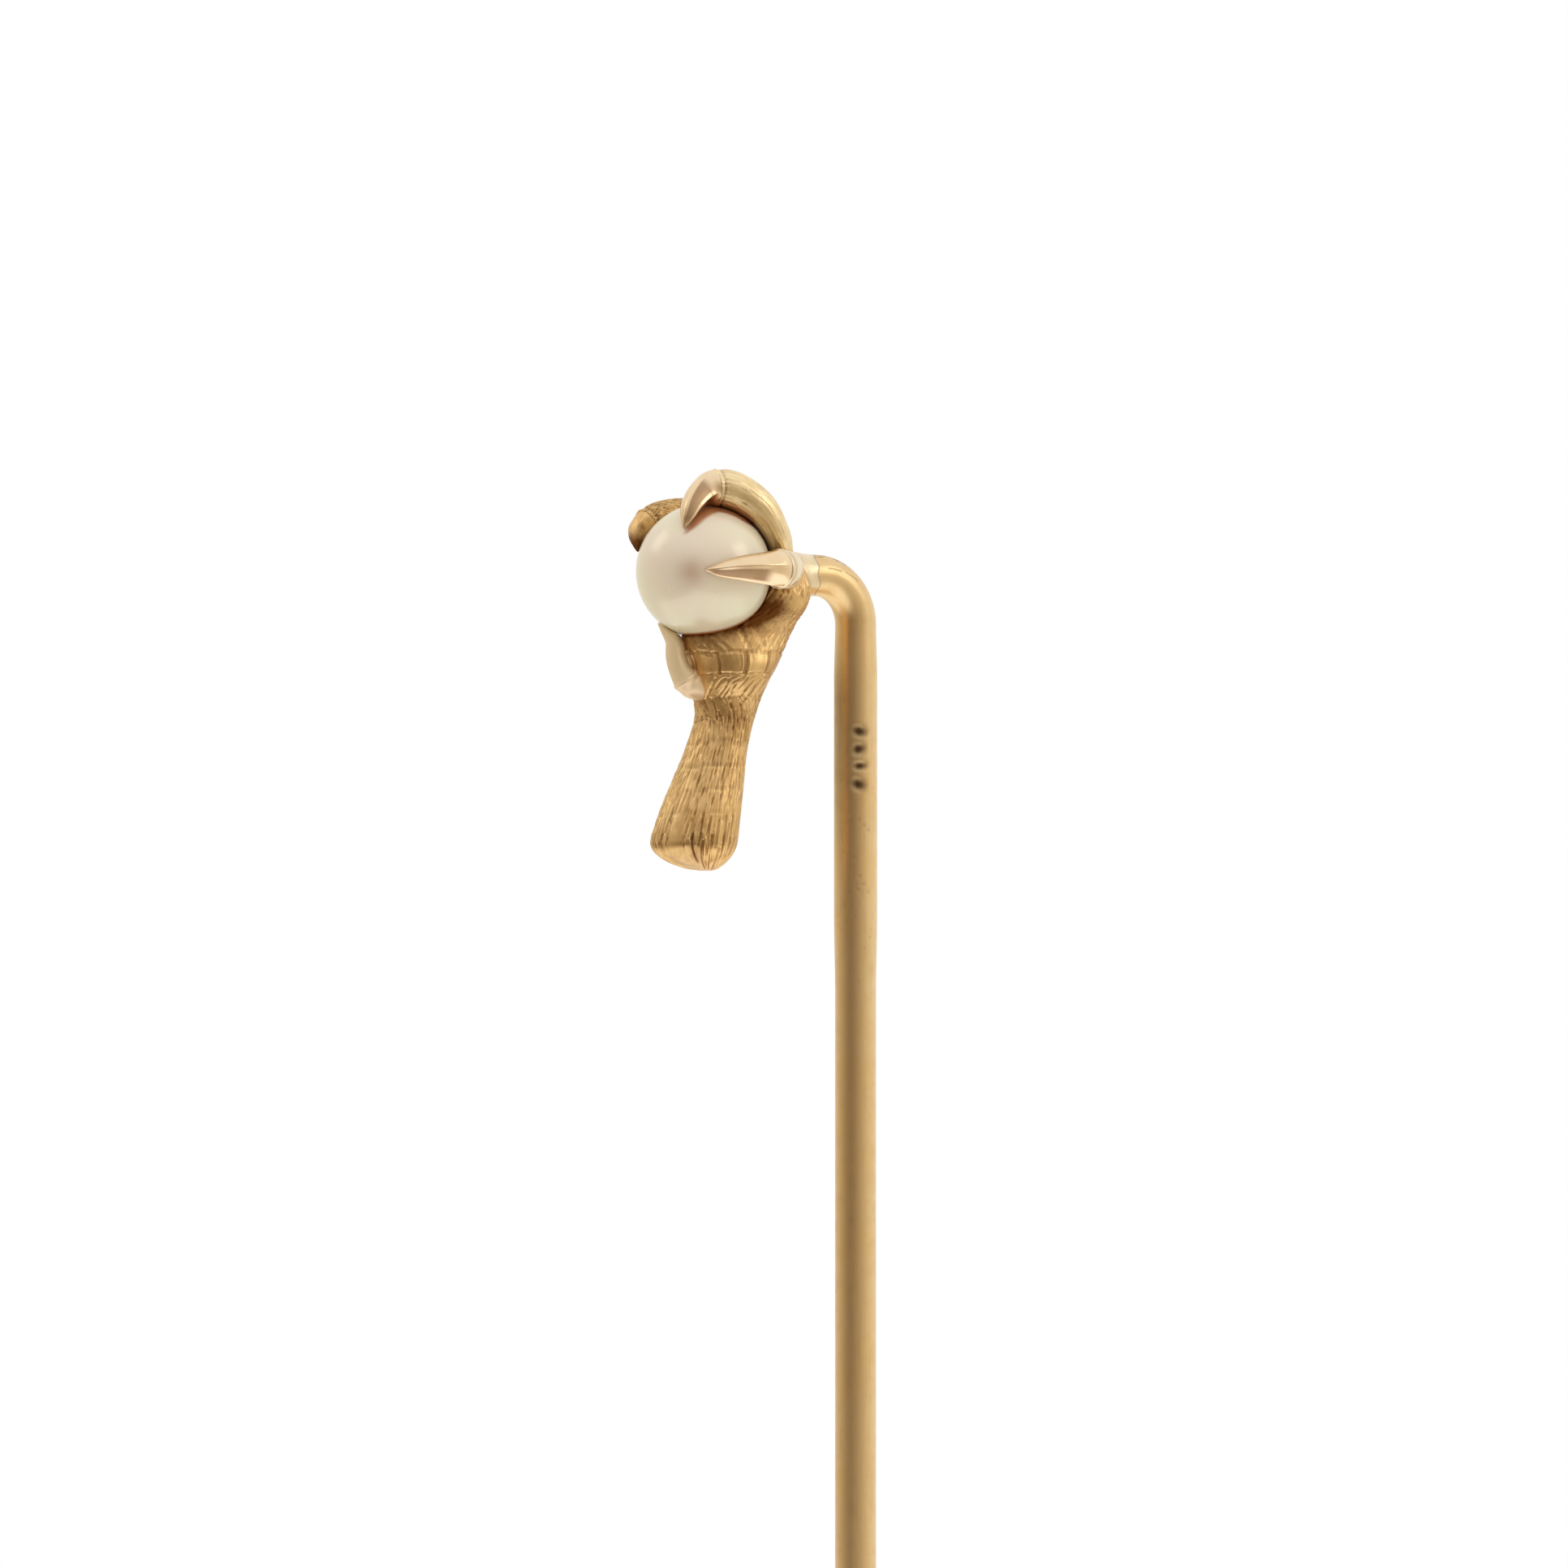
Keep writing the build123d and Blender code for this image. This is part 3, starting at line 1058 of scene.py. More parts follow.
@dataclass
class Talon:
    """Textured toe with a polished, faceted claw that rests its tip on the pearl.

    Overlap is how far toe and claw run into each other, in stations, and mean_radius turns the
    angle round the toe into a length.
    """

    setting: Setting
    shape: TalonShape
    columns: int = 120
    toe_rows: int = 200
    claw_rows: int = 120
    overlap: float = 0.10
    mean_radius: float = 0.45

    def route(self) -> tuple[Array, Array, Array, Array, Array]:
        """Centre line and its frame.

        The line goes smoothly through the stations. Its frame is the direction along it, the
        direction away from the pearl made square to that, and the one across both.

        Returns:
            Centres, across, away, half sizes, and the length along of each sample.
        """
        stations = np.array(self.shape.stations, dtype=float)
        bearing, climb = np.radians(stations[:, 0]), np.radians(stations[:, 1])
        reach = self.setting.pearl_radius + stations[:, 2]
        spots = np.stack(
            [
                reach * np.cos(climb) * np.sin(bearing),
                reach * np.cos(climb) * np.cos(bearing),
                reach * np.sin(climb),
            ],
            axis=-1,
        )
        count = 60 * (len(stations) - 1) + 1
        curve = spline(np.concatenate([spots, stations[:, 3:]], axis=1), count)
        centre = curve[:, :3]
        along = unit(np.gradient(centre, axis=0))
        away = unit(centre)
        away = unit(away - (away * along).sum(axis=1, keepdims=True) * along)
        across = np.cross(along, away)
        steps = np.linalg.norm(np.diff(centre, axis=0), axis=1)
        halves = np.maximum(curve[:, 3:], 0.02)
        return centre, across, away, halves, np.concatenate([[0.0], np.cumsum(steps)])

    def sweep(self, low: float, high: float, section: Array) -> tuple[Array, Array]:
        """Carry a section along part of the route.

        Args:
            low: station where the part begins.
            high: station where it ends.
            section: rows by columns by 2, the outline across and away, in half sizes.

        Returns:
            Points of the grid and the length along of each row.
        """
        centre, across, away, halves, length = self.route()
        number = np.linspace(0, len(self.shape.stations) - 1, len(centre))
        want = np.linspace(low, high, len(section))

        def pick(values: Array) -> Array:
            """Read values at the wanted stations."""
            return np.stack([np.interp(want, number, v) for v in values.T], axis=-1)

        mid, side, out, size = pick(centre), unit(pick(across)), unit(pick(away)), pick(halves)
        points = (
            mid[:, None]
            + side[:, None] * (section[..., 0:1] * size[:, None, 0:1])
            + out[:, None] * (section[..., 1:2] * size[:, None, 1:2])
        )
        return points, np.interp(want, number, length)

    def toe(self, skin: Skin, finish: bpy.types.Material) -> bpy.types.Object:
        """Round toe, cut as its shape says and rolled over at its cuticle.

        Args:
            skin: makes the mesh.
            finish: its material.

        Returns:
            The toe.
        """
        angle = np.linspace(-np.pi, np.pi, self.columns, endpoint=False)
        place = np.linspace(0, 1, self.toe_rows)[:, None]
        closing = 1 - smoothstep(0.95, 1.0, place) * 0.30
        section = np.stack([np.sin(angle) * closing, np.cos(angle) * closing], axis=-1)
        points, length = self.sweep(0, self.shape.knuckle + self.overlap, section)
        end = length[-1]
        reach = self.mean_radius * np.pi
        graver = Graver(angle * self.mean_radius, length, 2 * reach, seed=self.shape.seed)
        full_film = 0.30
        if self.shape.toe_cut is ToeCut.FLECKS:
            full_film = 0.62
            graver.hatch(reach, Hatching(0.0, end - 0.10, 0.100, 0.15, 0.75, 0.020, 0.011))
            graver.hatch(reach, Hatching(0.0, end - 0.10, 0.110, 0.13, -0.60, 0.020, 0.010, 0.30))
        elif self.shape.toe_cut is ToeCut.LINES:
            graver.hatch(reach, Hatching(0.0, end - 0.05, 0.110, 0.50, 0.03, 0.020, 0.007))
        level = length[:, None]
        cuticle = 0.030 * bump(level, end - 0.07, 0.05) - 0.018 * bump(level, end - 0.20, 0.05)
        points = points + grid_normals(points) * (graver.height + cuticle)[..., None]
        pressed = keep_outside(points, self.setting.contact_radius)
        groove = full_film * np.clip(-graver.height / 0.016, 0, 1)
        # Painted shade: the toe darkens where it comes near the pearl.
        shade = 0.95 * self.setting.contact_shade(pressed, 0.12)
        seam = 0.30 * bump(level, end - 0.20, 0.04)
        film_and_painted_shade = np.clip(np.maximum(groove, shade) + seam, 0, 1)
        grain = grain_space(angle, length, self.mean_radius, 9.0)
        piece = skin.piece(f"{self.shape.node}_toe", pressed, finish, {"film_and_painted_shade": film_and_painted_shade}, grain)
        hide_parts(self.shape.node)
        return piece

    def claw(self, skin: Skin, finish: bpy.types.Material) -> bpy.types.Object:
        """Polished claw that turns from round at its root to four-sided, and thins to its tip.

        The four-sided outline's radius at angle f is cos(q) / cos(|((f + q) mod 2q) - q| - q)
        with q an eighth of a turn. It grows out of the circle over the first third, and its
        corners stay slightly soft.

        Args:
            skin: makes the mesh.
            finish: its material.

        Returns:
            The claw.
        """
        angle = np.linspace(-np.pi, np.pi, self.columns, endpoint=False)
        eighth = np.pi / 4
        phase = (angle - self.shape.turn + eighth) % (2 * eighth) - eighth
        corner = np.cos(eighth) / np.cos(np.abs(phase) - eighth)
        place = np.linspace(0, 1, self.claw_rows)[:, None]
        sharp = self.shape.sharp * smoothstep(0.0, 0.30, place)
        radius = 1 - sharp * (1 - corner[None, :])
        section = np.stack([np.sin(angle) * radius, np.cos(angle) * radius], axis=-1)
        last = len(self.shape.stations) - 1
        points, length = self.sweep(self.shape.knuckle - self.overlap, last, section)
        pressed = keep_outside(points, self.setting.contact_radius)
        # Painted shade: the claw darkens where it comes near the pearl.
        shade = 0.6 * self.setting.contact_shade(pressed, 0.07)
        turned = (angle[None, :] - self.shape.facet + np.pi) % (2 * np.pi) - np.pi
        flat = smoothstep(0.60, 0.46, np.abs(turned)) * smoothstep(0.18, 0.30, place)
        # Painted shade towards the tip, and painted shade on the facet as a dark reflection.
        tip = self.shape.tip_shade * smoothstep(0.15, 0.75, place)
        facet = self.shape.facet_shade * flat * smoothstep(1.0, 0.80, place)
        film = np.maximum(np.maximum(facet, tip), self.shape.worn_film)
        film_and_painted_shade = np.clip(np.maximum(shade, film), 0, 1)
        grain = grain_space(angle, length, 0.35, 6.0)
        piece = skin.piece(f"{self.shape.node}_claw", pressed, finish, {"film_and_painted_shade": film_and_painted_shade}, grain)
        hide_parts(self.shape.node)
        return piece


@dataclass(frozen=True)
class Dent:
    """Oval mark of a blunt punch: place round the wire and along it, and its halves."""

    around: float
    height: float
    half_width: float
    half_height: float


@dataclass
class WireStem:
    """Bent wire with punch dents near its top and a ground point at its foot.

    Struck_side is the angle, from the front towards +X, at which the dents and the nicks beside
    them stand.
    """

    setting: Setting
    point_length: float = 5.0
    point_radius: float = 0.06
    columns: int = 120
    bend_radius: float = 1.28
    palm_thickness: float = 1.12
    tenon: float = 0.30
    struck_side: float = 1.12
    scratches: int = 110
    bend_marks: int = 26
    nicks: int = 34
    dent_depth: float = 0.060
    dents: tuple[Dent, ...] = (
        Dent(0.02, -2.78, 0.18, 0.15),
        Dent(0.00, -3.24, 0.17, 0.14),
        Dent(0.03, -3.68, 0.15, 0.13),
        Dent(-0.01, -4.16, 0.18, 0.16),
    )

    def route(self) -> tuple[Array, Array, Array]:
        """Centre line from the palm to the point, in the row's own frame.

        Returns:
            Y and Z of the line, the turn of its section in radians, and the length along it.
        """
        run_start = self.setting.centre[1] + self.setting.seat_radius + self.palm_thickness - self.tenon
        run = np.linspace(run_start, -self.bend_radius, 60, endpoint=False)
        turn = np.linspace(0, np.pi / 2, 150, endpoint=False)
        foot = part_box("pin_stem")[0][2] / MM
        straight = np.concatenate(
            [
                np.linspace(0, -2.4, 60, endpoint=False),
                np.linspace(-2.4, -5.0, 220, endpoint=False),
                np.linspace(-5.0, -12.0, 100, endpoint=False),
                np.linspace(-12.0, foot + self.point_length, 60, endpoint=False),
                np.linspace(foot + self.point_length, foot, 40),
            ]
        )
        y = np.concatenate(
            [run, -self.bend_radius + self.bend_radius * np.sin(turn), np.zeros(len(straight))]
        )
        z = np.concatenate(
            [np.full(len(run), self.bend_radius), self.bend_radius * np.cos(turn), straight]
        )
        tilt = np.concatenate([np.zeros(len(run)), turn, np.full(len(straight), np.pi / 2)])
        steps = np.hypot(np.diff(y), np.diff(z))
        return np.stack([y, z], axis=-1), tilt, np.concatenate([[0.0], np.cumsum(steps)])

    def punch(self, angle: Array, z: Array) -> Array:
        """Sink the dents: depth times exp(-r^2.4), with r in half sizes, a little uneven round.

        Args:
            angle: of each column.
            z: height of each row, as a column.

        Returns:
            Height over the smooth wire, in millimetres.
        """
        relief = np.zeros((len(z), len(angle)))
        for dent in self.dents:
            offset = (angle[None, :] - self.struck_side) * self.setting.wire_radius - dent.around
            rise = (z - dent.height) / dent.half_height
            r = np.hypot(offset / dent.half_width, rise)
            turn = np.arctan2(rise, offset / dent.half_width)
            uneven = 1 + 0.10 * np.sin(2 * turn + 9 * dent.height)
            relief -= self.dent_depth * np.exp(-((r * uneven) ** 2.4))
        return relief

    def scratch(self, angle: Array, length: Array, top: float) -> Array:
        """Cut handling scratches all along, rub marks under the bend and nicks by the dents.

        Args:
            angle: of each column.
            length: along the wire, of each row.
            top: length at which the straight part begins.

        Returns:
            Height over the smooth wire, in millimetres.
        """
        radius = self.setting.wire_radius
        graver = Graver(angle * radius, length, 2 * np.pi * radius, seed=31)
        draw = graver.random
        for _ in range(self.scratches):
            where = draw.uniform(0.6, length[-1] - self.point_length)
            start = draw.uniform(-np.pi, np.pi) * radius
            run = draw.uniform(0.1, 0.5)
            lean = draw.normal(0, 0.25)
            depth = draw.uniform(0.001, 0.004)
            graver.cut((start, where), (start + lean * run, where + run), 0.016, depth)
        for _ in range(self.bend_marks):
            where = draw.uniform(0.35, 1.6)
            start = draw.normal(np.pi * 0.95, 0.5) * radius
            graver.cut((start, where), (start + 0.02, where + 0.35), 0.022, 0.012)
        for _ in range(self.nicks):
            where = top + draw.uniform(4.9, 8.5)
            start = (self.struck_side + draw.normal(-0.3, 0.5)) * radius
            graver.cut((start, where), (start + draw.uniform(0.02, 0.12), where), 0.018, 0.005)
        return graver.height

    def build(self, skin: Skin, finish: bpy.types.Material) -> bpy.types.Object:
        """Carry the round section along the wire, with handling scratches and the dents.

        The upper wire is a few hundredths stouter, where it was struck, and narrows below. The
        film fills the marks, and a darker, duller strip runs down the front of the upper wire.

        Args:
            skin: makes the mesh.
            finish: its material.

        Returns:
            The wire.
        """
        line, tilt, length = self.route()
        radius = self.setting.wire_radius
        angle = np.linspace(-np.pi, np.pi, self.columns, endpoint=False)
        y, z = line[:, 0:1], line[:, 1:2]
        stem = tilt[:, None] > 1.5
        foot = float(line[-1, 1])
        taper = np.clip((z - foot) / self.point_length, 0, 1)
        girth = self.point_radius + (radius - self.point_radius) * taper
        girth = girth * (1 + 0.055 * smoothstep(-9.6, -7.6, z) * smoothstep(0.0, -1.4, z))
        scratches = self.scratch(angle, length, float(length[np.argmax(stem[:, 0])]))
        dents = self.punch(angle, z) * stem
        section = girth + scratches + dents
        outward = -section * np.cos(angle)[None, :]
        points = np.stack(
            [
                section * np.sin(angle)[None, :],
                y + outward * np.sin(tilt)[:, None],
                z + outward * np.cos(tilt)[:, None],
            ],
            axis=-1,
        )
        film = np.clip(-(2.5 * scratches + dents) / self.dent_depth, 0, 1)
        # Darker, duller strip down the front of the upper wire.
        strip_span = smoothstep(-8.0, -2.5, z) * smoothstep(-0.1, -2.0, z)
        front_strip = 0.42 * bump(angle[None, :], 0.10, 0.75) * strip_span * stem
        film_and_painted_shade = np.clip(film * 0.95 + front_strip, 0, 1)
        grain = grain_space(angle, length, radius, 30.0)
        piece = skin.piece("drawn_wire_stem", points, finish, {"film_and_painted_shade": film_and_painted_shade}, grain)
        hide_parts("pin_stem")
        return piece


@dataclass
class SolderBead:
    """Lump of pale hard solder that runs from the palm's back onto the wire.

    Its radius over the wire falls off along the wire as a concave fillet, fuller below where the
    melt sagged, with low lobes round it and one lump. Cover is the skin that it leaves on the
    wire.
    """

    setting: Setting
    reach: float = 0.54
    overlap: float = 0.40
    cover: float = 0.014
    fillet: float = 0.16
    sag: float = 0.30
    lump: float = 0.035
    rows: int = 90
    columns: int = 160

    def build(self, skin: Skin, finish: bpy.types.Material) -> bpy.types.Object:
        """Make the bead, as rings whose radius follows the fillet, the sag and the lump.

        Args:
            skin: makes the mesh.
            finish: its material.

        Returns:
            The bead.
        """
        low, high = (np.array(corner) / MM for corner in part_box("stem_solder"))
        angle = np.linspace(-np.pi, np.pi, self.columns, endpoint=False)
        place = np.linspace(0, 1, self.rows)[:, None]
        wire = self.setting.wire_radius
        lobes = 1 + 0.30 * np.sin(3 * angle + 0.8) + 0.20 * np.sin(5 * angle + 2.0)
        fillet = self.fillet * (1 - place) ** 1.5 * lobes[None, :]
        sag = self.sag * bump(angle[None, :], 0.45, 0.85) * (1 - place) ** 1.3
        lump = self.lump * bump(place, 0.45, 0.16) * bump(angle[None, :], 0.9, 0.5)
        radius = wire + self.cover + fillet + sag + lump
        start = low[1] - self.overlap
        wander = 0.05 * np.sin(2 * angle + 1.0) + 0.03 * np.sin(7 * angle)
        y = start + (self.overlap + self.reach + wander[None, :]) * place
        x = radius * np.sin(angle)
        z = (low[2] + high[2]) / 2 - radius * np.cos(angle)
        points = np.stack([x, y, z], axis=-1)
        seam = bump(place, 1.0, 0.04) * 0.6
        pool = 0.35 * bump(place, 0.55, 0.10) * bump(angle[None, :], 1.3, 0.5)
        film_and_painted_shade = np.clip(seam + pool, 0, 1)
        grain = grain_space(angle, place[:, 0], wire, 1.0)
        piece = skin.piece("solder_bead", points, finish, {"film_and_painted_shade": film_and_painted_shade}, grain)
        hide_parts("stem_solder")
        return piece


@dataclass
class Pearl:
    """Round pearl, a hair out of true as grown ones are.

    Tip_mark is where the side talon's claw ends on it.
    """

    setting: Setting
    rows: int = 150
    columns: int = 240
    tip_mark: tuple[float, float, float] = (1.27, -1.20, -0.06)

    def under_toe(self, points: Array) -> Array:
        """Share of painted reflection of the gold beside the upper talon, on the side that its claw
        curls over.

        With e the distance from the talon's centre line to its edge on the pearl, the share falls
        from 1 at e + 0.05 mm to 0 at e + 0.17 mm.

        Args:
            points: the pearl's grid.

        Returns:
            The share, rows by columns.
        """
        centre, across, _, halves, _ = Talon(self.setting, TALONS[0]).route()
        part = slice(150, None, 7)  # every seventh sample of the stretch that arches over
        line, side = centre[part], across[part]
        lift = np.linalg.norm(line, axis=-1) - self.setting.pearl_radius
        edge = np.hypot(lift, halves[part, 0])
        offset = points[:, :, None] - line
        beyond = np.linalg.norm(offset, axis=-1) - edge
        nearest = beyond.argmin(axis=-1)
        chosen = np.take_along_axis(offset, nearest[..., None, None], axis=2)[:, :, 0]
        sheltered = smoothstep(0.05, -0.15, (chosen * side[nearest]).sum(axis=-1))
        return smoothstep(0.17, 0.05, beyond.min(axis=-1)) * sheltered

    def near_cup(self, points: Array) -> Array:
        """Share of painted reflection of the gold along the cup's lip: 1 within 0.07 mm of it, and none
        from 0.20 mm.

        Args:
            points: the pearl's grid.

        Returns:
            The share, rows by columns.
        """
        leg = ClawLeg(self.setting).surface()[0]
        clearance = np.abs(np.linalg.norm(leg, axis=-1) - self.setting.contact_radius)
        lip = leg[clearance < 0.05][::3]
        nearest = [np.linalg.norm(row[:, None] - lip, axis=-1).min(axis=-1) for row in points]
        return smoothstep(0.20, 0.07, np.array(nearest))

    def build(self, skin: Skin, finish: bpy.types.Material) -> bpy.types.Object:
        """Make the pearl as a ball with a few parts in a thousand of slow swell.

        An attribute lays painted reflection of the gold at the cup's edge and on the sheltered side
        of the upper talon, and painted shade at the side talon's tip.

        Args:
            skin: makes the mesh.
            finish: its material.

        Returns:
            The pearl.
        """
        polar = np.linspace(0.01, np.pi - 0.01, self.rows)[:, None]
        around = np.linspace(-np.pi, np.pi, self.columns, endpoint=False)
        swell = 0.0016 * np.sin(2 * around + 1) * np.sin(polar) ** 2 + 0.0012 * np.cos(3 * polar)
        radius = self.setting.pearl_radius * (1 + swell)
        x = radius * np.sin(polar) * np.sin(around)
        y = -radius * np.cos(polar) * np.ones_like(x)
        z = radius * np.sin(polar) * np.cos(around)
        points = np.stack([x, y, z], axis=-1)
        # Painted shade at the side claw's tip, and painted reflection of the gold along the cup's lip
        # and beside the upper talon.
        tip = 0.40 * bump(np.linalg.norm(points - self.tip_mark, axis=-1), 0.0, 0.34)
        edges = np.maximum(self.near_cup(points), 0.9 * self.under_toe(points))
        glow = np.clip(edges + tip, 0, 1)
        grain = grain_space(around, polar[:, 0], 1.0, 1.0)
        piece = skin.piece("round_pearl", points, finish, {"painted_reflection_and_shade": glow}, grain)
        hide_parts("pearl")
        return piece


# ------------------------------------------------------------------ studio


@dataclass(frozen=True)
class Studio:
    """White light tent with a dim side at its opening, two soft lamps and a pale table.

    Azimuth is the camera's turn round the pin from the front, to the right. View_width is the
    width seen at the pin, and aim_left and aim_height put the pin in it, all in millimetres.
    """

    azimuth: float = np.radians(56.0)
    lens_mm: float = 200.0
    view_width: float = 40.96
    aim_left: float = 1.87
    aim_height: float = -4.15
    opening_turn: float = np.radians(-26.0)
    even_share: float = 0.60
    lamp_distance: float = 0.30
    table_half: float = 0.07
    table_lift: float = 0.42

    def towards_camera(self, turn: float = 0.0) -> Array:
        """Level direction from the pin to the camera, turned to the right by an angle."""
        heading = self.azimuth + turn
        return np.array([np.sin(heading), -np.cos(heading), 0.0])

    def camera(self) -> None:
        """Place a long lens level with the pin."""
        data = bpy.data.cameras.new("studio_camera")
        data.lens = self.lens_mm
        data.sensor_width = 36.0
        distance = self.view_width * self.lens_mm / data.sensor_width
        right = np.array([np.cos(self.azimuth), np.sin(self.azimuth), 0.0])
        aim = -self.aim_left * right + np.array([0.0, 0.0, self.aim_height])
        eye = aim + distance * self.towards_camera()
        data.clip_start = 10 * MM
        data.clip_end = 5.0
        camera = bpy.data.objects.new("studio_camera", data)
        camera.location = Vector(eye * MM)
        camera.rotation_mode = "QUATERNION"
        camera.rotation_quaternion = Vector(-self.towards_camera()).to_track_quat("-Z", "Y")
        bpy.context.scene.collection.objects.link(camera)
        bpy.context.scene.camera = camera

    def tent(self) -> None:
        """Light the scene from all round, brightest above and behind, dim at the opening.

        Diffuse light is evened out, as the tent's cloth does by scattering to and fro.
        """
        world = bpy.data.worlds.new("light_tent")
        bpy.context.scene.world = world
        world.use_nodes = True
        tree = world.node_tree
        tree.nodes.clear()
        place = add_node(tree, "ShaderNodeTexCoord", {}, {})
        opening = tuple(self.towards_camera(self.opening_turn))
        facing = add_node(
            tree,
            "ShaderNodeVectorMath",
            {"operation": "DOT_PRODUCT", 1: opening},
            {0: place.outputs["Generated"]},
        )
        share = add_node(
            tree,
            "ShaderNodeMapRange",
            {"in:From Min": -1.0, "in:From Max": 1.0},
            {"Value": facing.outputs["Value"]},
        )
        ring = add_node(tree, "ShaderNodeValToRGB", {}, {"Fac": share.outputs["Result"]})
        set_ramp(
            ring,
            [
                (0.0, grey(1.0)),
                (0.20, (0.88, 0.84, 0.76, 1.0)),
                (0.50, (0.70, 0.63, 0.51, 1.0)),
                (0.75, (0.52, 0.44, 0.33, 1.0)),
                (0.92, (0.34, 0.26, 0.18, 1.0)),
                (1.0, (0.18, 0.13, 0.09, 1.0)),
            ],
        )
        height = add_node(tree, "ShaderNodeSeparateXYZ", {}, {0: place.outputs["Generated"]})
        above = add_node(
            tree,
            "ShaderNodeMapRange",
            {"in:From Min": 0.15, "in:From Max": 0.80, "in:To Min": 0.0, "in:To Max": 0.9},
            {"Value": height.outputs["Z"]},
        )
        tent = add_node(
            tree,
            "ShaderNodeMix",
            {"data_type": "RGBA", 7: grey(1.0)},
            {0: above.outputs["Result"], 6: ring.outputs["Color"]},
        )
        light = add_node(tree, "ShaderNodeBackground", {}, {"Color": tent.outputs[2]})
        white = add_node(tree, "ShaderNodeBackground", {"in:Color": grey(1.0)}, {})
        path = add_node(tree, "ShaderNodeLightPath", {}, {})
        even = add_node(
            tree,
            "ShaderNodeMath",
            {"operation": "MULTIPLY_ADD", 1: self.even_share, "use_clamp": True},
            {0: path.outputs["Is Diffuse Ray"], 2: path.outputs["Is Camera Ray"]},
        )
        mix = add_node(
            tree,
            "ShaderNodeMixShader",
            {},
            {0: even.outputs["Value"], 1: light.outputs["Background"], 2: white.outputs["Background"]},
        )
        add_node(tree, "ShaderNodeOutputWorld", {}, {"Surface": mix.outputs["Shader"]})

    def lamp(self, name: str, turn: float, height: float, size: float, power: float) -> None:
        """Hang a square soft lamp that looks at the claw.

        Args:
            name: lamp's name.
            turn: radians to the right of the camera.
            height: metres above the claw.
            size: side in metres.
            power: watts.
        """
        data = bpy.data.lights.new(name, "AREA")
        data.energy = power
        data.size = size
        target = Vector((0.0, -4.0 * MM, 0.0))
        spot = Vector(self.towards_camera(turn) * self.lamp_distance)
        spot = spot + Vector((0.0, 0.0, height))
        lamp = bpy.data.objects.new(name, data)
        lamp.location = spot
        lamp.rotation_mode = "QUATERNION"
        lamp.rotation_quaternion = (target - spot).to_track_quat("-Z", "Y")
        bpy.context.scene.collection.objects.link(lamp)

    def table(self) -> None:
        """Lay a pale table under the point, white to the eye but for the pin's shadow.

        Its laminate scatters light evenly. What is missing to white is added only where the eye
        or a mirrored ray meets it.
        """
        low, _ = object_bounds()
        half = self.table_half
        mesh = bpy.data.meshes.new("pale_table")
        corners = [(x * half, y * half, low[2]) for x, y in ((-1, -1), (1, -1), (1, 1), (-1, 1))]
        mesh.from_pydata(corners, [], [(0, 1, 2, 3)])
        material = bare_material("matt_white_laminate")
        tree = material.node_tree
        matt = add_node(tree, "ShaderNodeBsdfDiffuse", {"in:Color": linear("#E9E8E6")}, {})
        path = add_node(tree, "ShaderNodeLightPath", {}, {})
        seen = add_node(
            tree,
            "ShaderNodeMath",
            {"operation": "MAXIMUM"},
            {0: path.outputs["Is Camera Ray"], 1: path.outputs["Is Glossy Ray"]},
        )
        lift = add_node(
            tree,
            "ShaderNodeMath",
            {"operation": "MULTIPLY", 1: self.table_lift},
            {0: seen.outputs["Value"]},
        )
        glow = add_node(
            tree, "ShaderNodeEmission", {"in:Color": grey(1.0)}, {"Strength": lift.outputs["Value"]}
        )
        both = add_node(
            tree, "ShaderNodeAddShader", {}, {0: matt.outputs["BSDF"], 1: glow.outputs["Emission"]}
        )
        add_node(tree, "ShaderNodeOutputMaterial", {}, {"Surface": both.outputs["Shader"]})
        mesh.materials.append(material)
        table = bpy.data.objects.new("pale_table", mesh)
        bpy.context.scene.collection.objects.link(table)
        table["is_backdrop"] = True

    def build(self) -> None:
        """Set up camera, tent, lamps and table."""
        bpy.context.scene.view_settings.view_transform = "Standard"
        self.camera()
        self.tent()
        self.lamp("right_softbox", np.radians(75.0), 0.14, 0.16, 0.10)
        self.lamp("left_softbox", np.radians(-105.0), 0.20, 0.14, 0.06)
        self.table()


def dress(node: str, material: bpy.types.Material) -> None:
    """Give a node that keeps its CAD mesh its finish."""
    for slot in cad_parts[node].material_slots:
        slot.material = material


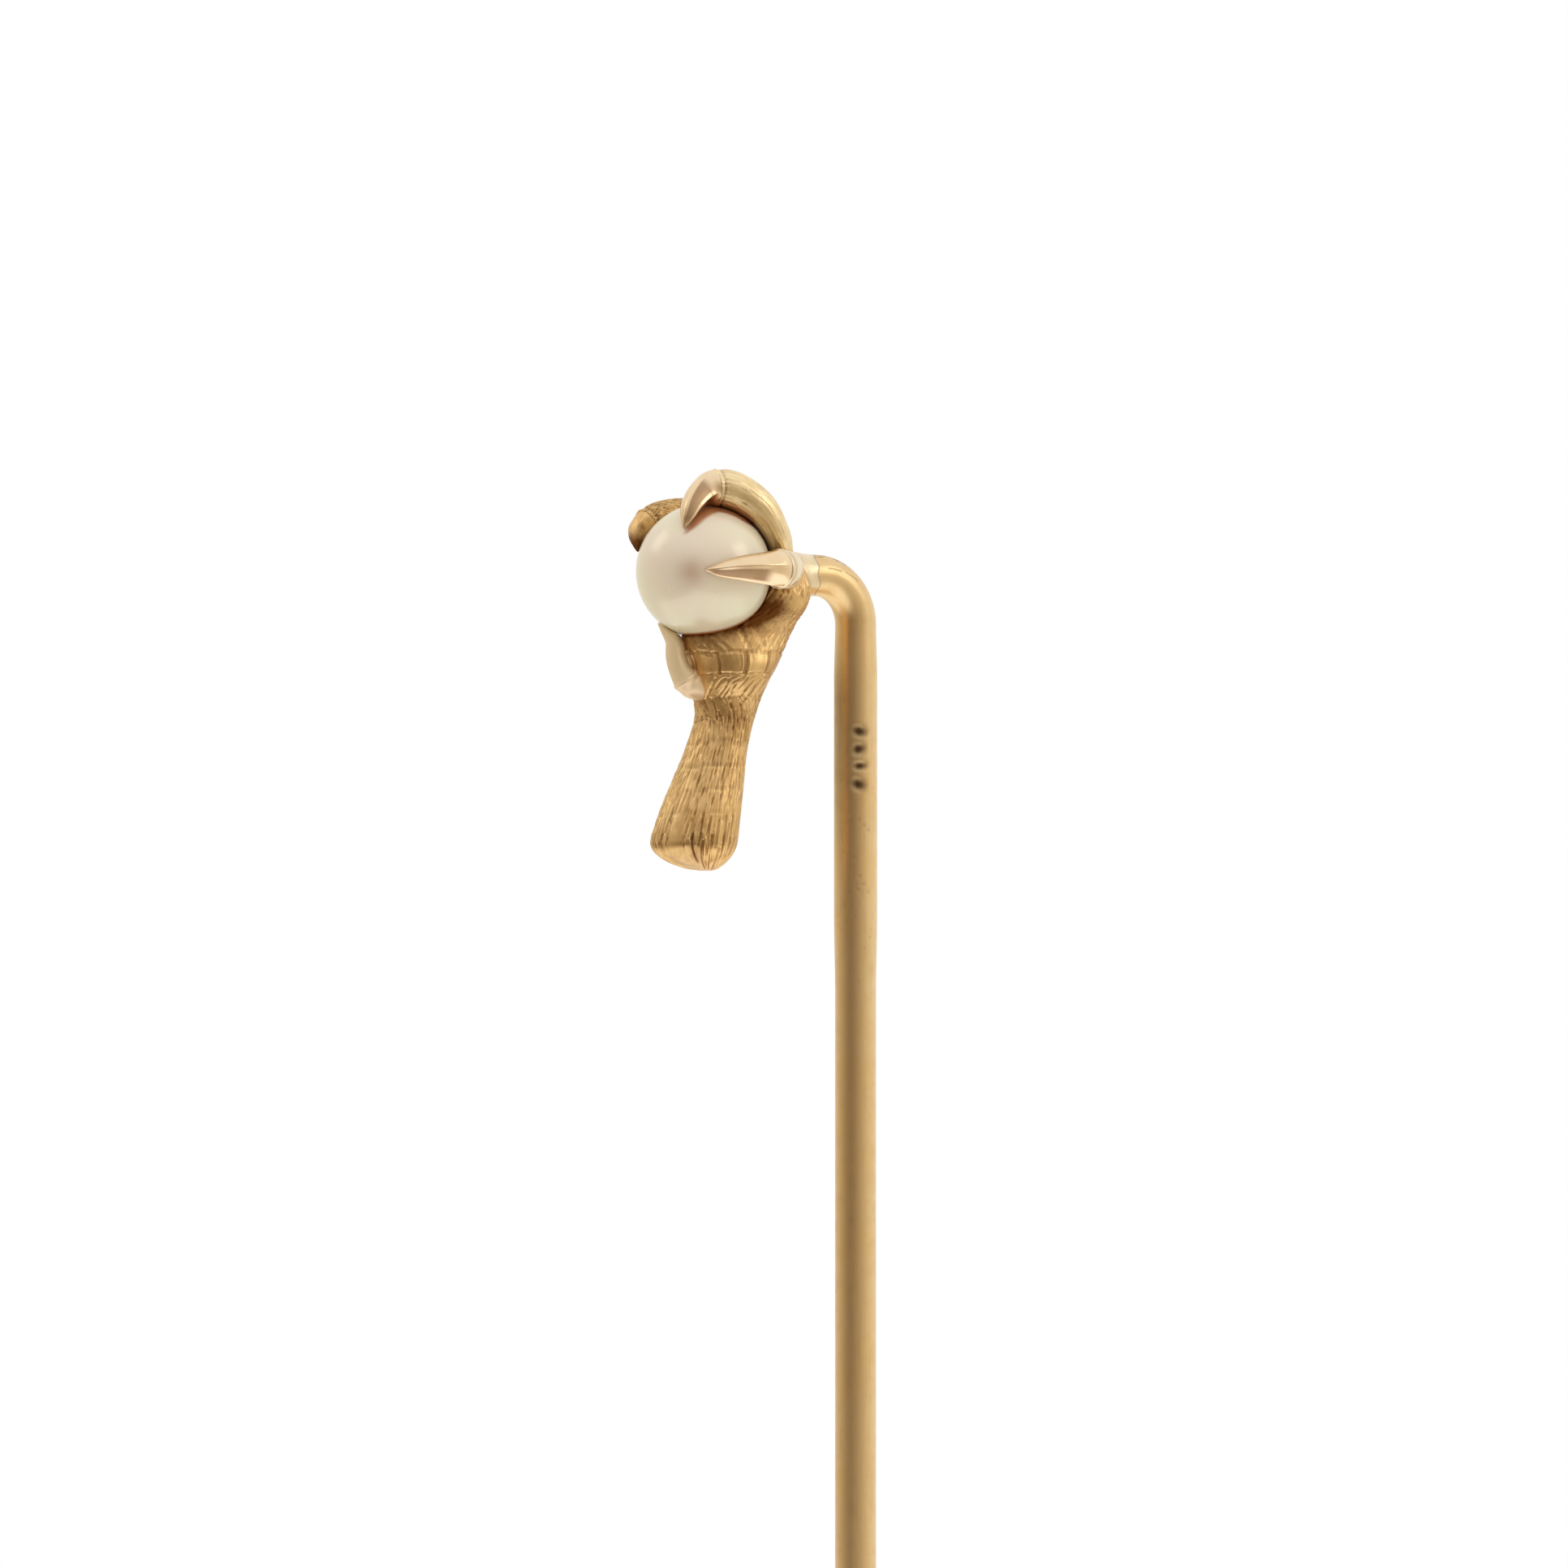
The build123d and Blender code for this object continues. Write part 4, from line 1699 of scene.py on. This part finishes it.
def main() -> None:
    """Build the studio, then the pin from the pearl outwards."""
    logging.basicConfig(level=logging.INFO, format="%(name)s: %(message)s")
    Studio().build()
    setting = Setting()
    around_pearl = Skin(setting.centre)
    in_row = Skin(np.zeros(3))

    # 14 carat gold, cast and cut all over by hand: glinting ridges, and brown film in the cuts.
    engraved = YellowGold(
        "engraved_yellow_gold",
        GoldTone.LEG,
        0.36,
        stroke_mm=0.05,
        stroke_height_mm=0.006,
        stroke_film=0.12,
        mottle_film=0.30,
    ).build()
    # The same casting, tumbled and left so: a soft sheen with faint rub marks.
    satin = YellowGold(
        "satin_yellow_gold",
        GoldTone.TOE,
        0.34,
        stroke_mm=0.05,
        stroke_height_mm=0.004,
        stroke_film=0.10,
        mottle_film=0.16,
    ).build()
    # The same casting, polished with rouge: bright planes with soft, warm reflections.
    polished = YellowGold(
        "polished_yellow_gold",
        GoldTone.CLAW,
        0.24,
        stroke_height_mm=0.0015,
        mottle_film=0.06,
    ).build()
    # The same casting under a dried haze of polishing paste: pale, with hardly a reflection.
    buffed = YellowGold(
        "buffed_yellow_gold",
        GoldTone.BUFFED,
        0.40,
        stroke_height_mm=0.0015,
        mottle_film=0.3,
        metallic=0.45,
    ).build()
    # Gold wire drawn through a plate: long fine lines that blur its gloss across.
    wire = YellowGold(
        "drawn_gold_wire",
        GoldTone.WIRE,
        0.36,
        stroke_height_mm=0.0016,
        stroke_film=0.05,
        mottle_film=0.08,
    ).build()
    # Hard gold solder, richer in silver: paler than the gold, smooth where it flowed.
    solder = YellowGold(
        "pale_hard_solder",
        GoldTone.SOLDER,
        0.27,
        stroke_mm=0.16,
        stroke_height_mm=0.003,
        mottle_film=0.18,
    ).build()
    # Plain gold wire inside the pearl, as cut: clean and fairly glossy.
    peg = YellowGold("plain_gold_peg", GoldTone.WIRE, 0.26).build()
    nacre = Nacre().build()
    cement = SetCement().build()

    Pearl(setting).build(around_pearl, nacre)
    ClawLeg(setting).build(around_pearl, engraved)
    finishes = {
        "upper_talon": (satin, polished),
        "left_talon": (engraved, engraved),
        "right_talon": (solder, polished),
        "hind_talon": (buffed, buffed),
    }
    for shape in TALONS:
        talon = Talon(setting, shape)
        toe_finish, claw_finish = finishes[shape.node]
        talon.toe(around_pearl, toe_finish)
        talon.claw(around_pearl, claw_finish)
    WireStem(setting).build(in_row, wire)
    SolderBead(setting).build(in_row, solder)
    dress("pearl_peg", peg)
    dress("pearl_cement", cement)


if __name__ == "__main__":
    main()
